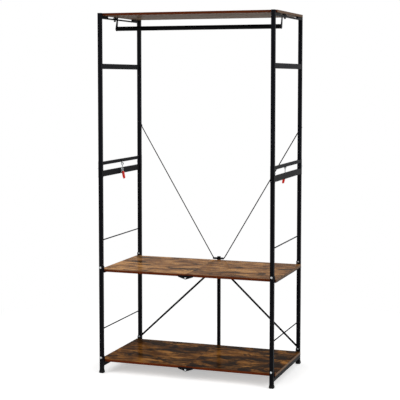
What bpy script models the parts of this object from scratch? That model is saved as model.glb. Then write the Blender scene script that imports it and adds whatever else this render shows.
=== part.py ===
"""Folding clothes rack: two square-tube side frames joined by shelves that fold at the middle.

Everything is in metres. X runs left to right, Y front to rear and Z up. The pieces are drawn
about the middle plane of the side frames, and one datum empty then centres the footprint.
"""
import math

import bmesh
import bpy
from mathutils import Matrix, Vector

# Side frames
FRAME_WIDTH = 0.900
FRAME_DEPTH = 0.526
RACK_HEIGHT = 1.790
POST_SIZE = 0.019
POST_WALL = 0.0012
POST_ROUND = 0.0016
BAR_THICKNESS = 0.012
BAR_WALL = 0.0012
BAR_ROUND = 0.0012
SIDE_ROD_DIAMETER = 0.006

# Clearances
GAP = 0.0003
OVERRUN = 0.002
EMBED = 0.0005

# Heights of the bars, underside first
BOTTOM_RAIL_BASE = 0.030
BOTTOM_RAIL_HEIGHT = 0.017
LATCH_BAR_BASE = 0.984
LATCH_BAR_HEIGHT = 0.029
KEEPER_BAR_BASE = 1.042
KEEPER_BAR_HEIGHT = 0.016
CROSSBAR_BASE = 1.517
CROSSBAR_HEIGHT = 0.026
TOP_RAIL_HEIGHT = 0.0147
LOWER_SIDE_ROD_Z = 0.221
UPPER_SIDE_ROD_Z = 0.668

# Where an upper post plugs onto a lower post
JOINT_ABOVE_BAR = 0.0035
COLLAR_PROUD = 0.0007
COLLAR_PAST_BAR = 0.003
SPIGOT_RISE = 0.034
SPIGOT_DROP = 0.030
SPIGOT_WALL = 0.0012
POST_TOP_WALL = 0.0015

# Spring buttons
BUTTON_ABOVE_JOINT = 0.0095
BUTTON_RADIUS = 0.0034
BUTTON_CROWN_RADIUS = 0.0020
BUTTON_CROWN_HEIGHT = 0.0012
BUTTON_PROUD = 0.0055
BUTTON_FLANGE_RADIUS = 0.0046
BUTTON_FLANGE = 0.0012

# Feet
FOOT_HEIGHT = 0.015
FOOT_FLOOR = 0.003
FOOT_SOLE_SIZE = 0.0205
FOOT_BELLY_SIZE = 0.0255
FOOT_BELLY_Z = 0.0050
FOOT_SHOULDER_SIZE = 0.0242
FOOT_SHOULDER_Z = 0.0095
FOOT_TOP_SIZE = 0.0215
FOOT_ROUND = 0.0045

# Shelves
BOARD_THICKNESS = 0.012
BOARD_OVERHANG = 0.0055
BOARD_ROUND = 0.0006
MID_SHELF_TOP = 0.521
LOW_SHELF_TOP = 0.067
SEAM_HALF_GAP = 0.0004

# End brackets: a strip under the board, two ears and their pivot bolts
EAR_THICKNESS = 0.0025
EAR_RADIUS = 0.011
END_STRIP_THICKNESS = 0.0035
END_STRIP_WIDTH = 0.0275
PIVOT_ABOVE_BOARD = 0.0115
BOLT_RADIUS = 0.003
BOLT_HOLE_PLAY = 0.0003
WASHER_RADIUS = 0.0062
WASHER_THICKNESS = 0.0012
BOLT_HEAD_RADIUS = 0.0047
BOLT_CROWN_RADIUS = 0.0030
BOLT_CROWN = 0.0012
HARDWARE_REACH = 0.0062

# Centre brackets: a strip under the board and a hinge plate at each edge
HINGE_PLATE = 0.0015
HINGE_HALF_WIDTH = 0.0385
HINGE_OVERLAP = 0.006
HINGE_TAIL = 0.002
HINGE_BOSS_RADIUS = 0.007
CENTRE_PIVOT_DROP = 0.007
CENTRE_STRIP_WIDTH = 0.024
CENTRE_STRIP_THICKNESS = 0.003
RIVET_HEAD_RADIUS = 0.0045
RIVET_HEAD = 0.0015
SPACER_RADIUS = 0.005

# Centre post, slider and braces behind the shelves
CENTRE_POST_SIZE = 0.016
CENTRE_POST_WALL = 0.0012
CENTRE_POST_BEHIND = 0.007
CENTRE_POST_BASE = 0.036
CENTRE_POST_ABOVE_SHELF = 0.012
SLIDER_WALL = 0.0015
SLIDER_HEIGHT = 0.0255
SLIDER_BELOW_PIVOT = 0.0055
APEX_BELOW_SLIDER_TOP = 0.0055
APEX_PIN_RADIUS = 0.0025
APEX_HEAD_RADIUS = 0.004
APEX_HEAD = 0.0015
APEX_HOLE_PLAY = 0.0006
BRACE_WIDTH = 0.010
BRACE_THICKNESS = 0.002
BRACE_JOGGLE_LENGTH = 0.060
BRACE_JOGGLE_LAP = 0.004
BRACE_WEB_SHARE = 0.9

# Slanting stays from the rear posts to the head of the centre post
STAY_DIAMETER = 0.0055
STAY_PIVOT_Z = 1.2205
STAY_HOOK_BELOW_TOP = 0.0085
STAY_FOOT_X = 0.0290
STAY_BEND_RADIUS = 0.008
STAY_HOOK_DEPTH = 0.003
STAY_HOLE_PLAY = 0.0006
STAY_EYE_RADIUS = 0.0065
STAY_EYE_THICKNESS = 0.003
STAY_FLAT_INSET = 0.0003
STAY_PIN_RADIUS = 0.002
STAY_BOSS_RADIUS = 0.004
STAY_HEAD_RADIUS = 0.0036
STAY_HEAD = 0.0015

# Slots along the top rails, measured front to rear
SLOT_DEPTH = 0.008
FRONT_SLOT_START = -0.157
FRONT_SLOT_END = -0.072
REAR_SLOT_START = -0.052
REAR_SLOT_END = 0.170
TAB_NOTCH_DEPTH = 0.004

# Hanging rail
HANGING_RAIL_DIAMETER = 0.022
HANGING_RAIL_WALL = 0.0012
HANGING_RAIL_DROP = 0.070
HANGING_RAIL_Y = -0.073
HANGING_RAIL_END_INSET = 0.0185
STRAP_THICKNESS = 0.003
STRAP_WIDTH = 0.014
STRAP_RIM = 0.0003
STRAP_VENT_RADIUS = 0.003
TAB_REACH = 0.016

# Thumb knobs that hold the rail's tabs down
KNOB_RADIUS = 0.0052
KNOB_NECK_RADIUS = 0.0034
KNOB_HEIGHT = 0.0065
KNOB_NECK = 0.0012
KNOB_STEM_RADIUS = 0.002
KNOB_FLUTES = 8
KNOB_FLUTE_RADIUS = 0.0008

# Toggle latches, measured inwards from the bars' inner faces
LATCH_PIVOT_REACH = 0.0055
LATCH_PIVOT_Z = 1.006
LATCH_BASE_PLATE = 0.0015
LATCH_BASE_HALF_WIDTH = 0.0075
LATCH_BASE_BOTTOM = 0.990
LATCH_EAR_RADIUS = 0.0034
LATCH_PIN_RADIUS = 0.0015
EAR_WEB_SHARE = 0.9
EAR_WEB_INSET = 0.0002
LATCH_PLAY = 0.0003
CHEEK_THICKNESS = 0.0015
CHEEK_RADIUS = 0.0032
CHEEK_LENGTH = 0.0112
TONGUE_THICKNESS = 0.002
TONGUE_START = 0.0086
TONGUE_END = 0.0465
TONGUE_SLANT = math.radians(12.0)
GRIP_HALF_WIDTH = 0.0063
GRIP_THICKNESS = 0.0056
GRIP_START = 0.0115
GRIP_END = 0.0490
GRIP_ROUND = 0.0024
BAIL_PIVOT_DROP = 0.0055
BAIL_PIN_RADIUS = 0.001
BAIL_BARREL_RADIUS = 0.0026
BAIL_NECK_RADIUS = 0.0015
BAIL_LENGTH = 0.0330
EYE_RADIUS = 0.0055
EYE_WIRE_RADIUS = 0.001
EYE_TWIST = math.radians(40.0)
KEEPER_HALF_WIDTH = 0.0014
KEEPER_STRIP = 0.002
KEEPER_TAB_ABOVE_EYE = 0.0008
KEEPER_LIP_REACH = 0.0050
KEEPER_LIP_HEIGHT = 0.0027
KEEPER_TOP_MARGIN = 0.003

# Meshing
MERGE_DISTANCE = 0.000005
SMOOTH_ANGLE = math.radians(40.0)
RAIL_STEPS = 28
ROD_STEPS = 16
FLUTE_STEPS = 8
FOOT_SEGMENTS = 3
ROUND_STEPS = 20
FINE_STEPS = 12
EYE_POINTS = 18
BEND_POINTS = 6
ARC_POINTS = 8
EDGE_SEGMENTS = 2

# Levels and faces that follow from the sizes above
HALF_WIDTH = FRAME_WIDTH / 2
HALF_DEPTH = FRAME_DEPTH / 2
POST_X = HALF_WIDTH - POST_SIZE / 2
POST_Y = HALF_DEPTH - POST_SIZE / 2
POST_INNER_Y = HALF_DEPTH - POST_SIZE
BAR_INNER_X = HALF_WIDTH - BAR_THICKNESS
EAR_OUTER_Y = POST_INNER_Y - GAP
EAR_INNER_Y = EAR_OUTER_Y - EAR_THICKNESS
BOARD_EDGE_Y = EAR_INNER_Y - GAP
BOARD_END_X = HALF_WIDTH + BOARD_OVERHANG
TOP_BOARD_BASE = RACK_HEIGHT - BOARD_THICKNESS
TOP_RAIL_TOP = TOP_BOARD_BASE - GAP
TOP_RAIL_BASE = TOP_RAIL_TOP - TOP_RAIL_HEIGHT
JOINT_Z = LATCH_BAR_BASE + LATCH_BAR_HEIGHT + JOINT_ABOVE_BAR
SPIGOT_SIZE = POST_SIZE - 2 * (POST_WALL + GAP)
BUTTON_Z = JOINT_Z + BUTTON_ABOVE_JOINT
PLATE_NEAR = BOARD_EDGE_Y + GAP
PLATE_NEAR_END = PLATE_NEAR + HINGE_PLATE
PLATE_FAR = PLATE_NEAR_END + GAP
PLATE_FAR_END = PLATE_FAR + HINGE_PLATE
CENTRE_POST_FRONT = HALF_DEPTH + CENTRE_POST_BEHIND
CENTRE_POST_Y = CENTRE_POST_FRONT + CENTRE_POST_SIZE / 2
CENTRE_POST_TOP = MID_SHELF_TOP + CENTRE_POST_ABOVE_SHELF
SLIDER_SIZE = CENTRE_POST_SIZE + 2 * (GAP + SLIDER_WALL)
MID_CENTRE_Z = MID_SHELF_TOP - BOARD_THICKNESS - CENTRE_PIVOT_DROP
LOW_CENTRE_Z = LOW_SHELF_TOP - BOARD_THICKNESS - CENTRE_PIVOT_DROP
SLIDER_TOP = MID_CENTRE_Z - SLIDER_BELOW_PIVOT
APEX_Z = SLIDER_TOP - APEX_BELOW_SLIDER_TOP
MID_PIVOT_Z = MID_SHELF_TOP + PIVOT_ABOVE_BOARD
LOW_PIVOT_Z = LOW_SHELF_TOP + PIVOT_ABOVE_BOARD
BRACE_NEAR = HALF_DEPTH + GAP
BRACE_FAR = BRACE_NEAR + BRACE_THICKNESS + GAP
RAIL_END_X = HALF_WIDTH - HANGING_RAIL_END_INSET
HANGING_RAIL_Z = RACK_HEIGHT - HANGING_RAIL_DROP
TAB_Y = (FRONT_SLOT_END + REAR_SLOT_START) / 2
TAB_BASE = TOP_RAIL_TOP - TAB_NOTCH_DEPTH + GAP
BAIL_PIVOT_Z = LATCH_PIVOT_Z - BAIL_PIVOT_DROP
EYE_Z = BAIL_PIVOT_Z + BAIL_LENGTH
REAR_REACH = CENTRE_POST_Y + SLIDER_SIZE / 2
FRONT_REACH = HALF_DEPTH + HARDWARE_REACH
DATUM_Y = (FRONT_REACH - REAR_REACH) / 2

SIDES = {"left": -1, "right": 1}
DEPTHS = {"front": -1, "rear": 1}

parts = bpy.data.collections.new("clothes_rack")
cutters = bpy.data.collections.new("cutters")


# Scene and materials

def clear_scene():
    """Remove every object and give the two collections to the scene."""
    for item in list(bpy.data.objects):
        bpy.data.objects.remove(item, do_unlink=True)
    for group in (parts, cutters):
        bpy.context.scene.collection.children.link(group)


def paint(name, colour, roughness, metallic):
    """A Principled material with the given colour, roughness and metallic value."""
    material = bpy.data.materials.new(name)
    material.use_nodes = True
    shader = material.node_tree.nodes["Principled BSDF"]
    shader.inputs["Base Color"].default_value = (*colour, 1)
    shader.inputs["Roughness"].default_value = roughness
    shader.inputs["Metallic"].default_value = metallic
    material.diffuse_color = (*colour, 1)
    return material


BLACK_STEEL = ("black_steel", (0.018, 0.018, 0.021), 0.42, 0.0)
BRIGHT_STEEL = ("bright_steel", (0.62, 0.64, 0.65), 0.30, 1.0)
WOOD = ("wood_board", (0.30, 0.17, 0.09), 0.48, 0.0)
BLACK_PLASTIC = ("black_plastic", (0.010, 0.010, 0.011), 0.50, 0.0)
RED_GRIP = ("red_grip", (0.62, 0.03, 0.02), 0.35, 0.0)


def finish(item, coat):
    """Give a piece its own copy of a coat."""
    name, colour, roughness, metallic = coat
    item.data.materials.clear()
    item.data.materials.append(paint(f"{item.name}_{name}", colour, roughness, metallic))


# Pivots

datum = None


def make_pivot(name, location, parent=None):
    """An empty on a joint's axis, given by its place among the pieces."""
    item = bpy.data.objects.new(name, None)
    item.empty_display_size = POST_SIZE
    item["place"] = list(location)
    if parent is None:
        item.location = location
    else:
        item.parent = parent
        item.location = Vector(location) - Vector(parent["place"])
    parts.objects.link(item)
    return item


def hang(item, pivot, coat):
    """Hand a finished piece to the pivot that carries it."""
    item.parent = pivot
    item.location = Vector(item.location) - Vector(pivot["place"])
    finish(item, coat)
    return item


# Shapes

def add_mesh(name, work, group=None):
    """Turn a bmesh into an object."""
    mesh = bpy.data.meshes.new(name)
    work.to_mesh(mesh)
    work.free()
    item = bpy.data.objects.new(name, mesh)
    (group or parts).objects.link(item)
    if group is cutters:
        item.parent = datum
        item.hide_render = True
        item.display_type = "WIRE"
    return item


def ordered(low, high):
    """Two corners sorted so that the first is the lower one on every axis."""
    pairs = [sorted(pair) for pair in zip(low, high)]
    return Vector([p[0] for p in pairs]), Vector([p[1] for p in pairs])


def box_work(low, high, axis=None, radius=0, segments=EDGE_SEGMENTS):
    """A box between two corners, its edges along one axis rounded if a radius is given."""
    low, high = ordered(low, high)
    work = bmesh.new()
    bmesh.ops.create_cube(work, size=1)
    bmesh.ops.scale(work, vec=high - low, verts=work.verts)
    bmesh.ops.translate(work, vec=(low + high) / 2, verts=work.verts)
    if radius:
        edges = work.edges
        if axis is not None:
            edges = [e for e in edges if abs((e.verts[0].co - e.verts[1].co).normalized()[axis]) == 1]
        bmesh.ops.bevel(work, geom=list(edges), offset=radius, segments=segments, profile=0.5,
                        affect="EDGES", clamp_overlap=True)
    return work


def box(name, low, high, axis=None, radius=0, group=None):
    """A box as an object."""
    return add_mesh(name, box_work(low, high, axis, radius), group)


def cylinder(name, start, end, radius, group=None, steps=ROUND_STEPS):
    """A plain round bar between two points."""
    start, end = Vector(start), Vector(end)
    work = bmesh.new()
    bmesh.ops.create_cone(work, cap_ends=True, segments=steps, radius1=radius, radius2=radius,
                          depth=(end - start).length)
    turn = (end - start).to_track_quat("Z", "Y").to_matrix().to_4x4()
    bmesh.ops.transform(work, matrix=Matrix.Translation((start + end) / 2) @ turn, verts=work.verts)
    item = add_mesh(name, work, group)
    item.data.shade_smooth()
    item.data.set_sharp_from_angle(angle=SMOOTH_ANGLE)
    return item


def turned(name, profile, start, direction, group=None, steps=ROUND_STEPS):
    """A turned solid: (radius, height) points that run down the outside from top to bottom."""
    work = bmesh.new()
    corners = [work.verts.new((radius, 0, height)) for radius, height in profile]
    for upper, lower in zip(corners, corners[1:]):
        work.edges.new((upper, lower))
    item = add_mesh(name, work, group)
    screw = item.modifiers.new("turn", "SCREW")
    screw.axis = "Z"
    screw.steps = steps
    screw.render_steps = steps
    screw.use_merge_vertices = True
    screw.merge_threshold = MERGE_DISTANCE
    screw.use_smooth_shade = False
    item.rotation_euler = Vector(direction).to_track_quat("Z", "Y").to_euler()
    item.location = start
    return item


def solid(item, name, group=None):
    """Replace a curve by the closed mesh that it draws, in its own place."""
    bpy.context.view_layer.update()
    seen = item.evaluated_get(bpy.context.evaluated_depsgraph_get())
    mesh = bpy.data.meshes.new_from_object(seen)
    mesh.transform(item.matrix_world)
    data = item.data
    bpy.data.objects.remove(item, do_unlink=True)
    bpy.data.curves.remove(data)
    work = bmesh.new()
    work.from_mesh(mesh)
    bpy.data.meshes.remove(mesh)
    bmesh.ops.remove_doubles(work, verts=work.verts, dist=MERGE_DISTANCE)
    bmesh.ops.recalc_face_normals(work, faces=work.faces)
    return add_mesh(name, work, group)


def wire(name, points, radius, closed=False, group=None):
    """A round wire along a list of points, as a closed mesh."""
    data = bpy.data.curves.new(name, "CURVE")
    data.dimensions = "3D"
    data.bevel_depth = radius
    data.bevel_resolution = 2
    data.use_fill_caps = True
    spline = data.splines.new("POLY")
    spline.points.add(len(points) - 1)
    for knot, point in zip(spline.points, points):
        knot.co = (*point, 1)
    spline.use_cyclic_u = closed
    item = bpy.data.objects.new(name + "_path", data)
    cutters.objects.link(item)
    item = solid(item, name, group)
    item.data.shade_smooth()
    item.data.set_sharp_from_angle(angle=SMOOTH_ANGLE)
    return item


def plate(name, outline, near, far, facing="Y", group=None):
    """A flat plate: an outline in the XZ plane, or in YZ where it faces X, between two depths."""
    data = bpy.data.curves.new(name, "CURVE")
    data.dimensions = "2D"
    data.fill_mode = "BOTH"
    data.extrude = abs(far - near) / 2
    spline = data.splines.new("POLY")
    spline.points.add(len(outline) - 1)
    for knot, (across, up) in zip(spline.points, outline):
        knot.co = (across, up, 0, 1)
    spline.use_cyclic_u = True
    item = bpy.data.objects.new(name + "_outline", data)
    cutters.objects.link(item)
    middle = (near + far) / 2
    if facing == "Y":
        item.matrix_world = Matrix.Translation((0, middle, 0)) @ Matrix.Rotation(math.pi / 2, 4, "X")
    else:
        turn = Matrix(((0, 0, 1, 0), (1, 0, 0, 0), (0, 1, 0, 0), (0, 0, 0, 1)))
        item.matrix_world = Matrix.Translation((middle, 0, 0)) @ turn
    return solid(item, name, group)


def arc(centre, radius, start, end, count=ARC_POINTS):
    """Points on an arc between two angles in degrees, both ends included."""
    points = []
    for step in range(count + 1):
        angle = math.radians(start + (end - start) * step / count)
        points.append((centre[0] + radius * math.cos(angle), centre[1] + radius * math.sin(angle)))
    return points


def combine(item, other, operation):
    """Cut or join a piece with a helper, which moves to the cutters."""
    tool = item.modifiers.new(operation.lower(), "BOOLEAN")
    tool.operation = operation
    tool.solver = "EXACT"
    tool.object = other
    return item


def cut(item, other):
    """Take a helper's shape out of a piece."""
    return combine(item, other, "DIFFERENCE")


def join(item, other):
    """Weld a helper's shape to a piece."""
    return combine(item, other, "UNION")


# Side frames

def square_post(name, x, y, low, high, size=POST_SIZE, radius=POST_ROUND, group=None):
    """A solid square bar standing on its own centre line."""
    half = size / 2
    return box(name, (x - half, y - half, low), (x + half, y + half, high), 2, radius, group)


def lower_post(side, depth):
    """Lower tube, with the collar and the spigot that the upper tube plugs onto."""
    name = f"lower_post_{depth}_{side}"
    x, y = SIDES[side] * POST_X, DEPTHS[depth] * POST_Y
    bore = POST_SIZE - 2 * POST_WALL
    item = square_post(name, x, y, FOOT_FLOOR + GAP, JOINT_Z)
    collar = square_post(name + "_collar", x, y, LATCH_BAR_BASE - COLLAR_PAST_BAR, JOINT_Z,
                         POST_SIZE + 2 * COLLAR_PROUD, POST_ROUND + COLLAR_PROUD, cutters)
    join(item, collar)
    join(item, square_post(name + "_spigot", x, y, JOINT_Z - SPIGOT_DROP, JOINT_Z + SPIGOT_RISE,
                           SPIGOT_SIZE, 0, cutters))
    cut(item, square_post(name + "_bore", x, y, FOOT_FLOOR - OVERRUN, JOINT_Z - SPIGOT_DROP,
                          bore, 0, cutters))
    cut(item, square_post(name + "_spigot_bore", x, y, FOOT_FLOOR - OVERRUN,
                          JOINT_Z + SPIGOT_RISE + OVERRUN, SPIGOT_SIZE - 2 * SPIGOT_WALL, 0, cutters))
    for label, height in (("mid", MID_PIVOT_Z), ("low", LOW_PIVOT_Z)):
        cut(item, cylinder(f"{name}_{label}_hole", (x, y - POST_SIZE, height), (x, y + POST_SIZE, height),
                           BOLT_RADIUS + BOLT_HOLE_PLAY, cutters))
    cut(item, button_hole(name, x, y, SIDES[side]))
    return hang(item, frames[side], BLACK_STEEL)


def button_hole(name, x, y, outward):
    """The hole that a spring button looks out of."""
    return cylinder(name + "_button_hole", (x, y, BUTTON_Z), (x + outward * POST_SIZE, y, BUTTON_Z),
                    BUTTON_RADIUS + GAP, cutters)


def upper_post(side, depth):
    """Upper tube with a closed head, its collar, and the stay's pivot on a rear one."""
    name = f"upper_post_{depth}_{side}"
    x, y = SIDES[side] * POST_X, DEPTHS[depth] * POST_Y
    base = JOINT_Z + GAP
    item = square_post(name, x, y, base, RACK_HEIGHT)
    join(item, square_post(name + "_collar", x, y, base,
                           KEEPER_BAR_BASE + KEEPER_BAR_HEIGHT + COLLAR_PAST_BAR,
                           POST_SIZE + 2 * COLLAR_PROUD, POST_ROUND + COLLAR_PROUD, cutters))
    if depth == "rear":
        join(item, stay_pin(side, name))
    cut(item, square_post(name + "_bore", x, y, base - OVERRUN, RACK_HEIGHT - POST_TOP_WALL,
                          POST_SIZE - 2 * POST_WALL, 0, cutters))
    cut(item, button_hole(name, x, y, SIDES[side]))
    return hang(item, frames[side], BLACK_STEEL)


def stay_pin(side, name):
    """The stepped pin behind a rear post that a stay's eye turns on."""
    eye = CENTRE_POST_Y - HALF_DEPTH
    near = eye - STAY_EYE_THICKNESS / 2 - GAP
    far = eye + STAY_EYE_THICKNESS / 2 + GAP
    root = -POST_WALL / 2
    profile = [(0, far + STAY_HEAD), (STAY_HEAD_RADIUS, far + STAY_HEAD), (STAY_HEAD_RADIUS, far),
               (STAY_PIN_RADIUS, far), (STAY_PIN_RADIUS, near), (STAY_BOSS_RADIUS, near),
               (STAY_BOSS_RADIUS, root), (0, root)]
    start = (SIDES[side] * POST_X, HALF_DEPTH, STAY_PIVOT_Z)
    return turned(name + "_stay_pin", profile, start, (0, 1, 0), cutters)


def side_bar(name, side, base, height, end_y=POST_INNER_Y):
    """A hollow flat bar from the front post to the rear one, flush with their outer faces."""
    outward = SIDES[side]
    outer, inner = outward * HALF_WIDTH, outward * BAR_INNER_X
    reach = end_y - GAP
    item = box(name, (outer, -reach, base), (inner, reach, base + height), 1, BAR_ROUND)
    cut(item, box(name + "_bore", (outer - outward * BAR_WALL, -reach - OVERRUN, base + BAR_WALL),
                  (inner + outward * BAR_WALL, reach + OVERRUN, base + height - BAR_WALL), group=cutters))
    return item


def top_rail(side):
    """Rail under the top board, with two slots and the notch for the hanging rail's tab."""
    outward = SIDES[side]
    item = side_bar(f"top_rail_{side}", side, TOP_RAIL_BASE, TOP_RAIL_HEIGHT)
    middle = outward * (BAR_INNER_X + BAR_THICKNESS / 2)
    reach = BAR_THICKNESS / 2 + OVERRUN
    openings = (("front_slot", FRONT_SLOT_START, FRONT_SLOT_END, SLOT_DEPTH),
                ("rear_slot", REAR_SLOT_START, REAR_SLOT_END, SLOT_DEPTH),
                ("tab_notch", FRONT_SLOT_END - EMBED, REAR_SLOT_START + EMBED, TAB_NOTCH_DEPTH))
    for label, start, end, depth in openings:
        cut(item, box(f"{item.name}_{label}", (middle - reach, start, TOP_RAIL_TOP - depth),
                      (middle + reach, end, TOP_RAIL_TOP + OVERRUN), group=cutters))
    cut(item, cylinder(item.name + "_stem_hole", (middle, TAB_Y, TOP_RAIL_BASE - OVERRUN),
                       (middle, TAB_Y, TOP_RAIL_TOP), KNOB_STEM_RADIUS + GAP, cutters))
    return hang(item, frames[side], BLACK_STEEL)


def keeper_bar(side):
    """Lowest bar of the upper frame, with the hook that the latch's eye pulls on."""
    outward = SIDES[side]
    item = side_bar(f"keeper_bar_{side}", side, KEEPER_BAR_BASE, KEEPER_BAR_HEIGHT, COLLAR_INNER_Y)
    tab = EYE_Z + KEEPER_TAB_ABOVE_EYE
    lip = LATCH_PIVOT_REACH + KEEPER_LIP_REACH
    wall = -BAR_WALL / 2
    strip = [(wall, KEEPER_BAR_BASE + KEEPER_BAR_HEIGHT - KEEPER_TOP_MARGIN), (wall, tab), (lip, tab),
             (lip, tab + KEEPER_LIP_HEIGHT), (lip - KEEPER_STRIP, tab + KEEPER_LIP_HEIGHT),
             (lip - KEEPER_STRIP, tab + KEEPER_STRIP), (KEEPER_STRIP, tab + KEEPER_STRIP),
             (KEEPER_STRIP, KEEPER_BAR_BASE + KEEPER_BAR_HEIGHT - KEEPER_TOP_MARGIN)]
    outline = [(outward * (BAR_INNER_X - reach), up) for reach, up in strip]
    join(item, plate(item.name + "_hook", outline, -KEEPER_HALF_WIDTH, KEEPER_HALF_WIDTH, group=cutters))
    return hang(item, frames[side], BLACK_STEEL)


def side_rod(side, label, height):
    """A round rod between the lower posts."""
    x, reach = SIDES[side] * POST_X, POST_INNER_Y - GAP
    item = cylinder(f"side_rod_{label}_{side}", (x, -reach, height), (x, reach, height),
                    SIDE_ROD_DIAMETER / 2, steps=ROD_STEPS)
    return hang(item, frames[side], BLACK_STEEL)


def foot(side, depth):
    """A moulded foot: a rounded block that swells to a belly, with a pocket for the post."""
    name = f"foot_{depth}_{side}"
    x, y = SIDES[side] * POST_X, DEPTHS[depth] * POST_Y
    half = FOOT_TOP_SIZE / 2
    work = bmesh.new()
    bmesh.ops.create_cube(work, size=1)
    bmesh.ops.scale(work, vec=(FOOT_TOP_SIZE, FOOT_TOP_SIZE, FOOT_HEIGHT), verts=work.verts)
    bmesh.ops.translate(work, vec=(0, 0, FOOT_HEIGHT / 2), verts=work.verts)
    for level in (FOOT_BELLY_Z, FOOT_SHOULDER_Z):
        bmesh.ops.bisect_plane(work, geom=list(work.verts) + list(work.edges) + list(work.faces),
                               plane_co=(0, 0, level), plane_no=(0, 0, 1))
    upright = [e for e in work.edges if abs((e.verts[0].co - e.verts[1].co).normalized().z) == 1]
    bmesh.ops.bevel(work, geom=upright, offset=FOOT_ROUND, segments=FOOT_SEGMENTS, profile=0.5,
                    affect="EDGES")
    for level, size in ((0, FOOT_SOLE_SIZE), (FOOT_BELLY_Z, FOOT_BELLY_SIZE),
                        (FOOT_SHOULDER_Z, FOOT_SHOULDER_SIZE)):
        ring = [v for v in work.verts if abs(v.co.z - level) < FOOT_ROUND / 100]
        bmesh.ops.scale(work, vec=(size / 2 / half, size / 2 / half, 1), verts=ring)
    bmesh.ops.translate(work, vec=(x, y, 0), verts=work.verts)
    item = add_mesh(name, work)
    pocket = POST_SIZE + 2 * GAP
    cut(item, square_post(name + "_pocket", x, y, FOOT_FLOOR, FOOT_HEIGHT + OVERRUN, pocket, 0, cutters))
    return hang(item, frames[side], BLACK_PLASTIC)


def build_frame(side):
    """All fixed pieces of one side frame."""
    for depth in DEPTHS:
        lower_post(side, depth)
        upper_post(side, depth)
        foot(side, depth)
    hang(side_bar(f"bottom_rail_{side}", side, BOTTOM_RAIL_BASE, BOTTOM_RAIL_HEIGHT), frames[side],
         BLACK_STEEL)
    hang(side_bar(f"latch_bar_{side}", side, LATCH_BAR_BASE, LATCH_BAR_HEIGHT, COLLAR_INNER_Y),
         frames[side], BLACK_STEEL)
    hang(side_bar(f"crossbar_{side}", side, CROSSBAR_BASE, CROSSBAR_HEIGHT), frames[side], BLACK_STEEL)
    keeper_bar(side)
    top_rail(side)
    side_rod(side, "lower", LOWER_SIDE_ROD_Z)
    side_rod(side, "upper", UPPER_SIDE_ROD_Z)


COLLAR_INNER_Y = POST_INNER_Y - COLLAR_PROUD


# Shelves

def board(name, left, right, top):
    """A board between two X places, with lightly broken edges."""
    return box(name, (left, -BOARD_EDGE_Y, top - BOARD_THICKNESS), (right, BOARD_EDGE_Y, top),
               None, BOARD_ROUND)


def pivot_bolt(name, x, z, facing, spare):
    """A bolt from an ear out through a post, with its washer and head past the spare space."""
    root = EAR_INNER_Y + EAR_THICKNESS / 2
    seat = HALF_DEPTH + GAP + spare
    tip = HALF_DEPTH + HARDWARE_REACH
    shoulder = tip - BOLT_CROWN
    profile = [(0, tip - root), (BOLT_CROWN_RADIUS, tip - root), (BOLT_HEAD_RADIUS, shoulder - root),
               (BOLT_HEAD_RADIUS, seat + WASHER_THICKNESS - root),
               (WASHER_RADIUS, seat + WASHER_THICKNESS - root), (WASHER_RADIUS, seat - root),
               (BOLT_RADIUS, seat - root), (BOLT_RADIUS, 0), (0, 0)]
    return turned(name, profile, (x, facing * root, z), (0, facing, 0), cutters)


def end_bracket(name, side, top, pivot, brace_room):
    """Strip under a board's outer end, with an ear and a pivot bolt at each post."""
    outward = SIDES[side]
    x, z = outward * POST_X, top + PIVOT_ABOVE_BOARD
    seat = top - BOARD_THICKNESS - GAP
    end = outward * BOARD_END_X
    reach = EAR_OUTER_Y - EMBED
    item = box(name, (end, -reach, seat - END_STRIP_THICKNESS),
               (end - outward * END_STRIP_WIDTH, reach, seat))
    outline = [(x - EAR_RADIUS, seat - END_STRIP_THICKNESS + EMBED)]
    outline += [(x + EAR_RADIUS, seat - END_STRIP_THICKNESS + EMBED)]
    outline += arc((x, z), EAR_RADIUS, 0, 180, 2 * ARC_POINTS)
    for depth, facing in DEPTHS.items():
        join(item, plate(f"{name}_{depth}_ear", outline, facing * EAR_INNER_Y, facing * EAR_OUTER_Y,
                         group=cutters))
        spare = brace_room if depth == "rear" else 0
        join(item, pivot_bolt(f"{name}_{depth}_bolt", x, z, facing, spare))
    return hang(item, pivot, BLACK_STEEL)


def hinge_outline(outward, top):
    """Outline of one hinge plate: a wedge that narrows to the boss round the centre pivot."""
    under = top - BOARD_THICKNESS
    centre = (0, under - CENTRE_PIVOT_DROP)
    far, tail = outward * HINGE_HALF_WIDTH, under - HINGE_TAIL
    reach = math.hypot(far - centre[0], tail - centre[1])
    lean = math.degrees(math.atan2(tail - centre[1], HINGE_HALF_WIDTH))
    touch = math.degrees(math.acos(HINGE_BOSS_RADIUS / reach))
    shut = SEAM_HALF_GAP + GAP
    start = 180 - math.degrees(math.acos(shut / HINGE_BOSS_RADIUS))
    low = lean - touch
    points = [(far, under + HINGE_OVERLAP), (outward * shut, under + HINGE_OVERLAP)]
    if outward > 0:
        points += arc(centre, HINGE_BOSS_RADIUS, 180 - start, 360 + low, 2 * ARC_POINTS)
    else:
        points += arc(centre, HINGE_BOSS_RADIUS, start, -180 - low, 2 * ARC_POINTS)
    return points + [(far, tail)]


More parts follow.
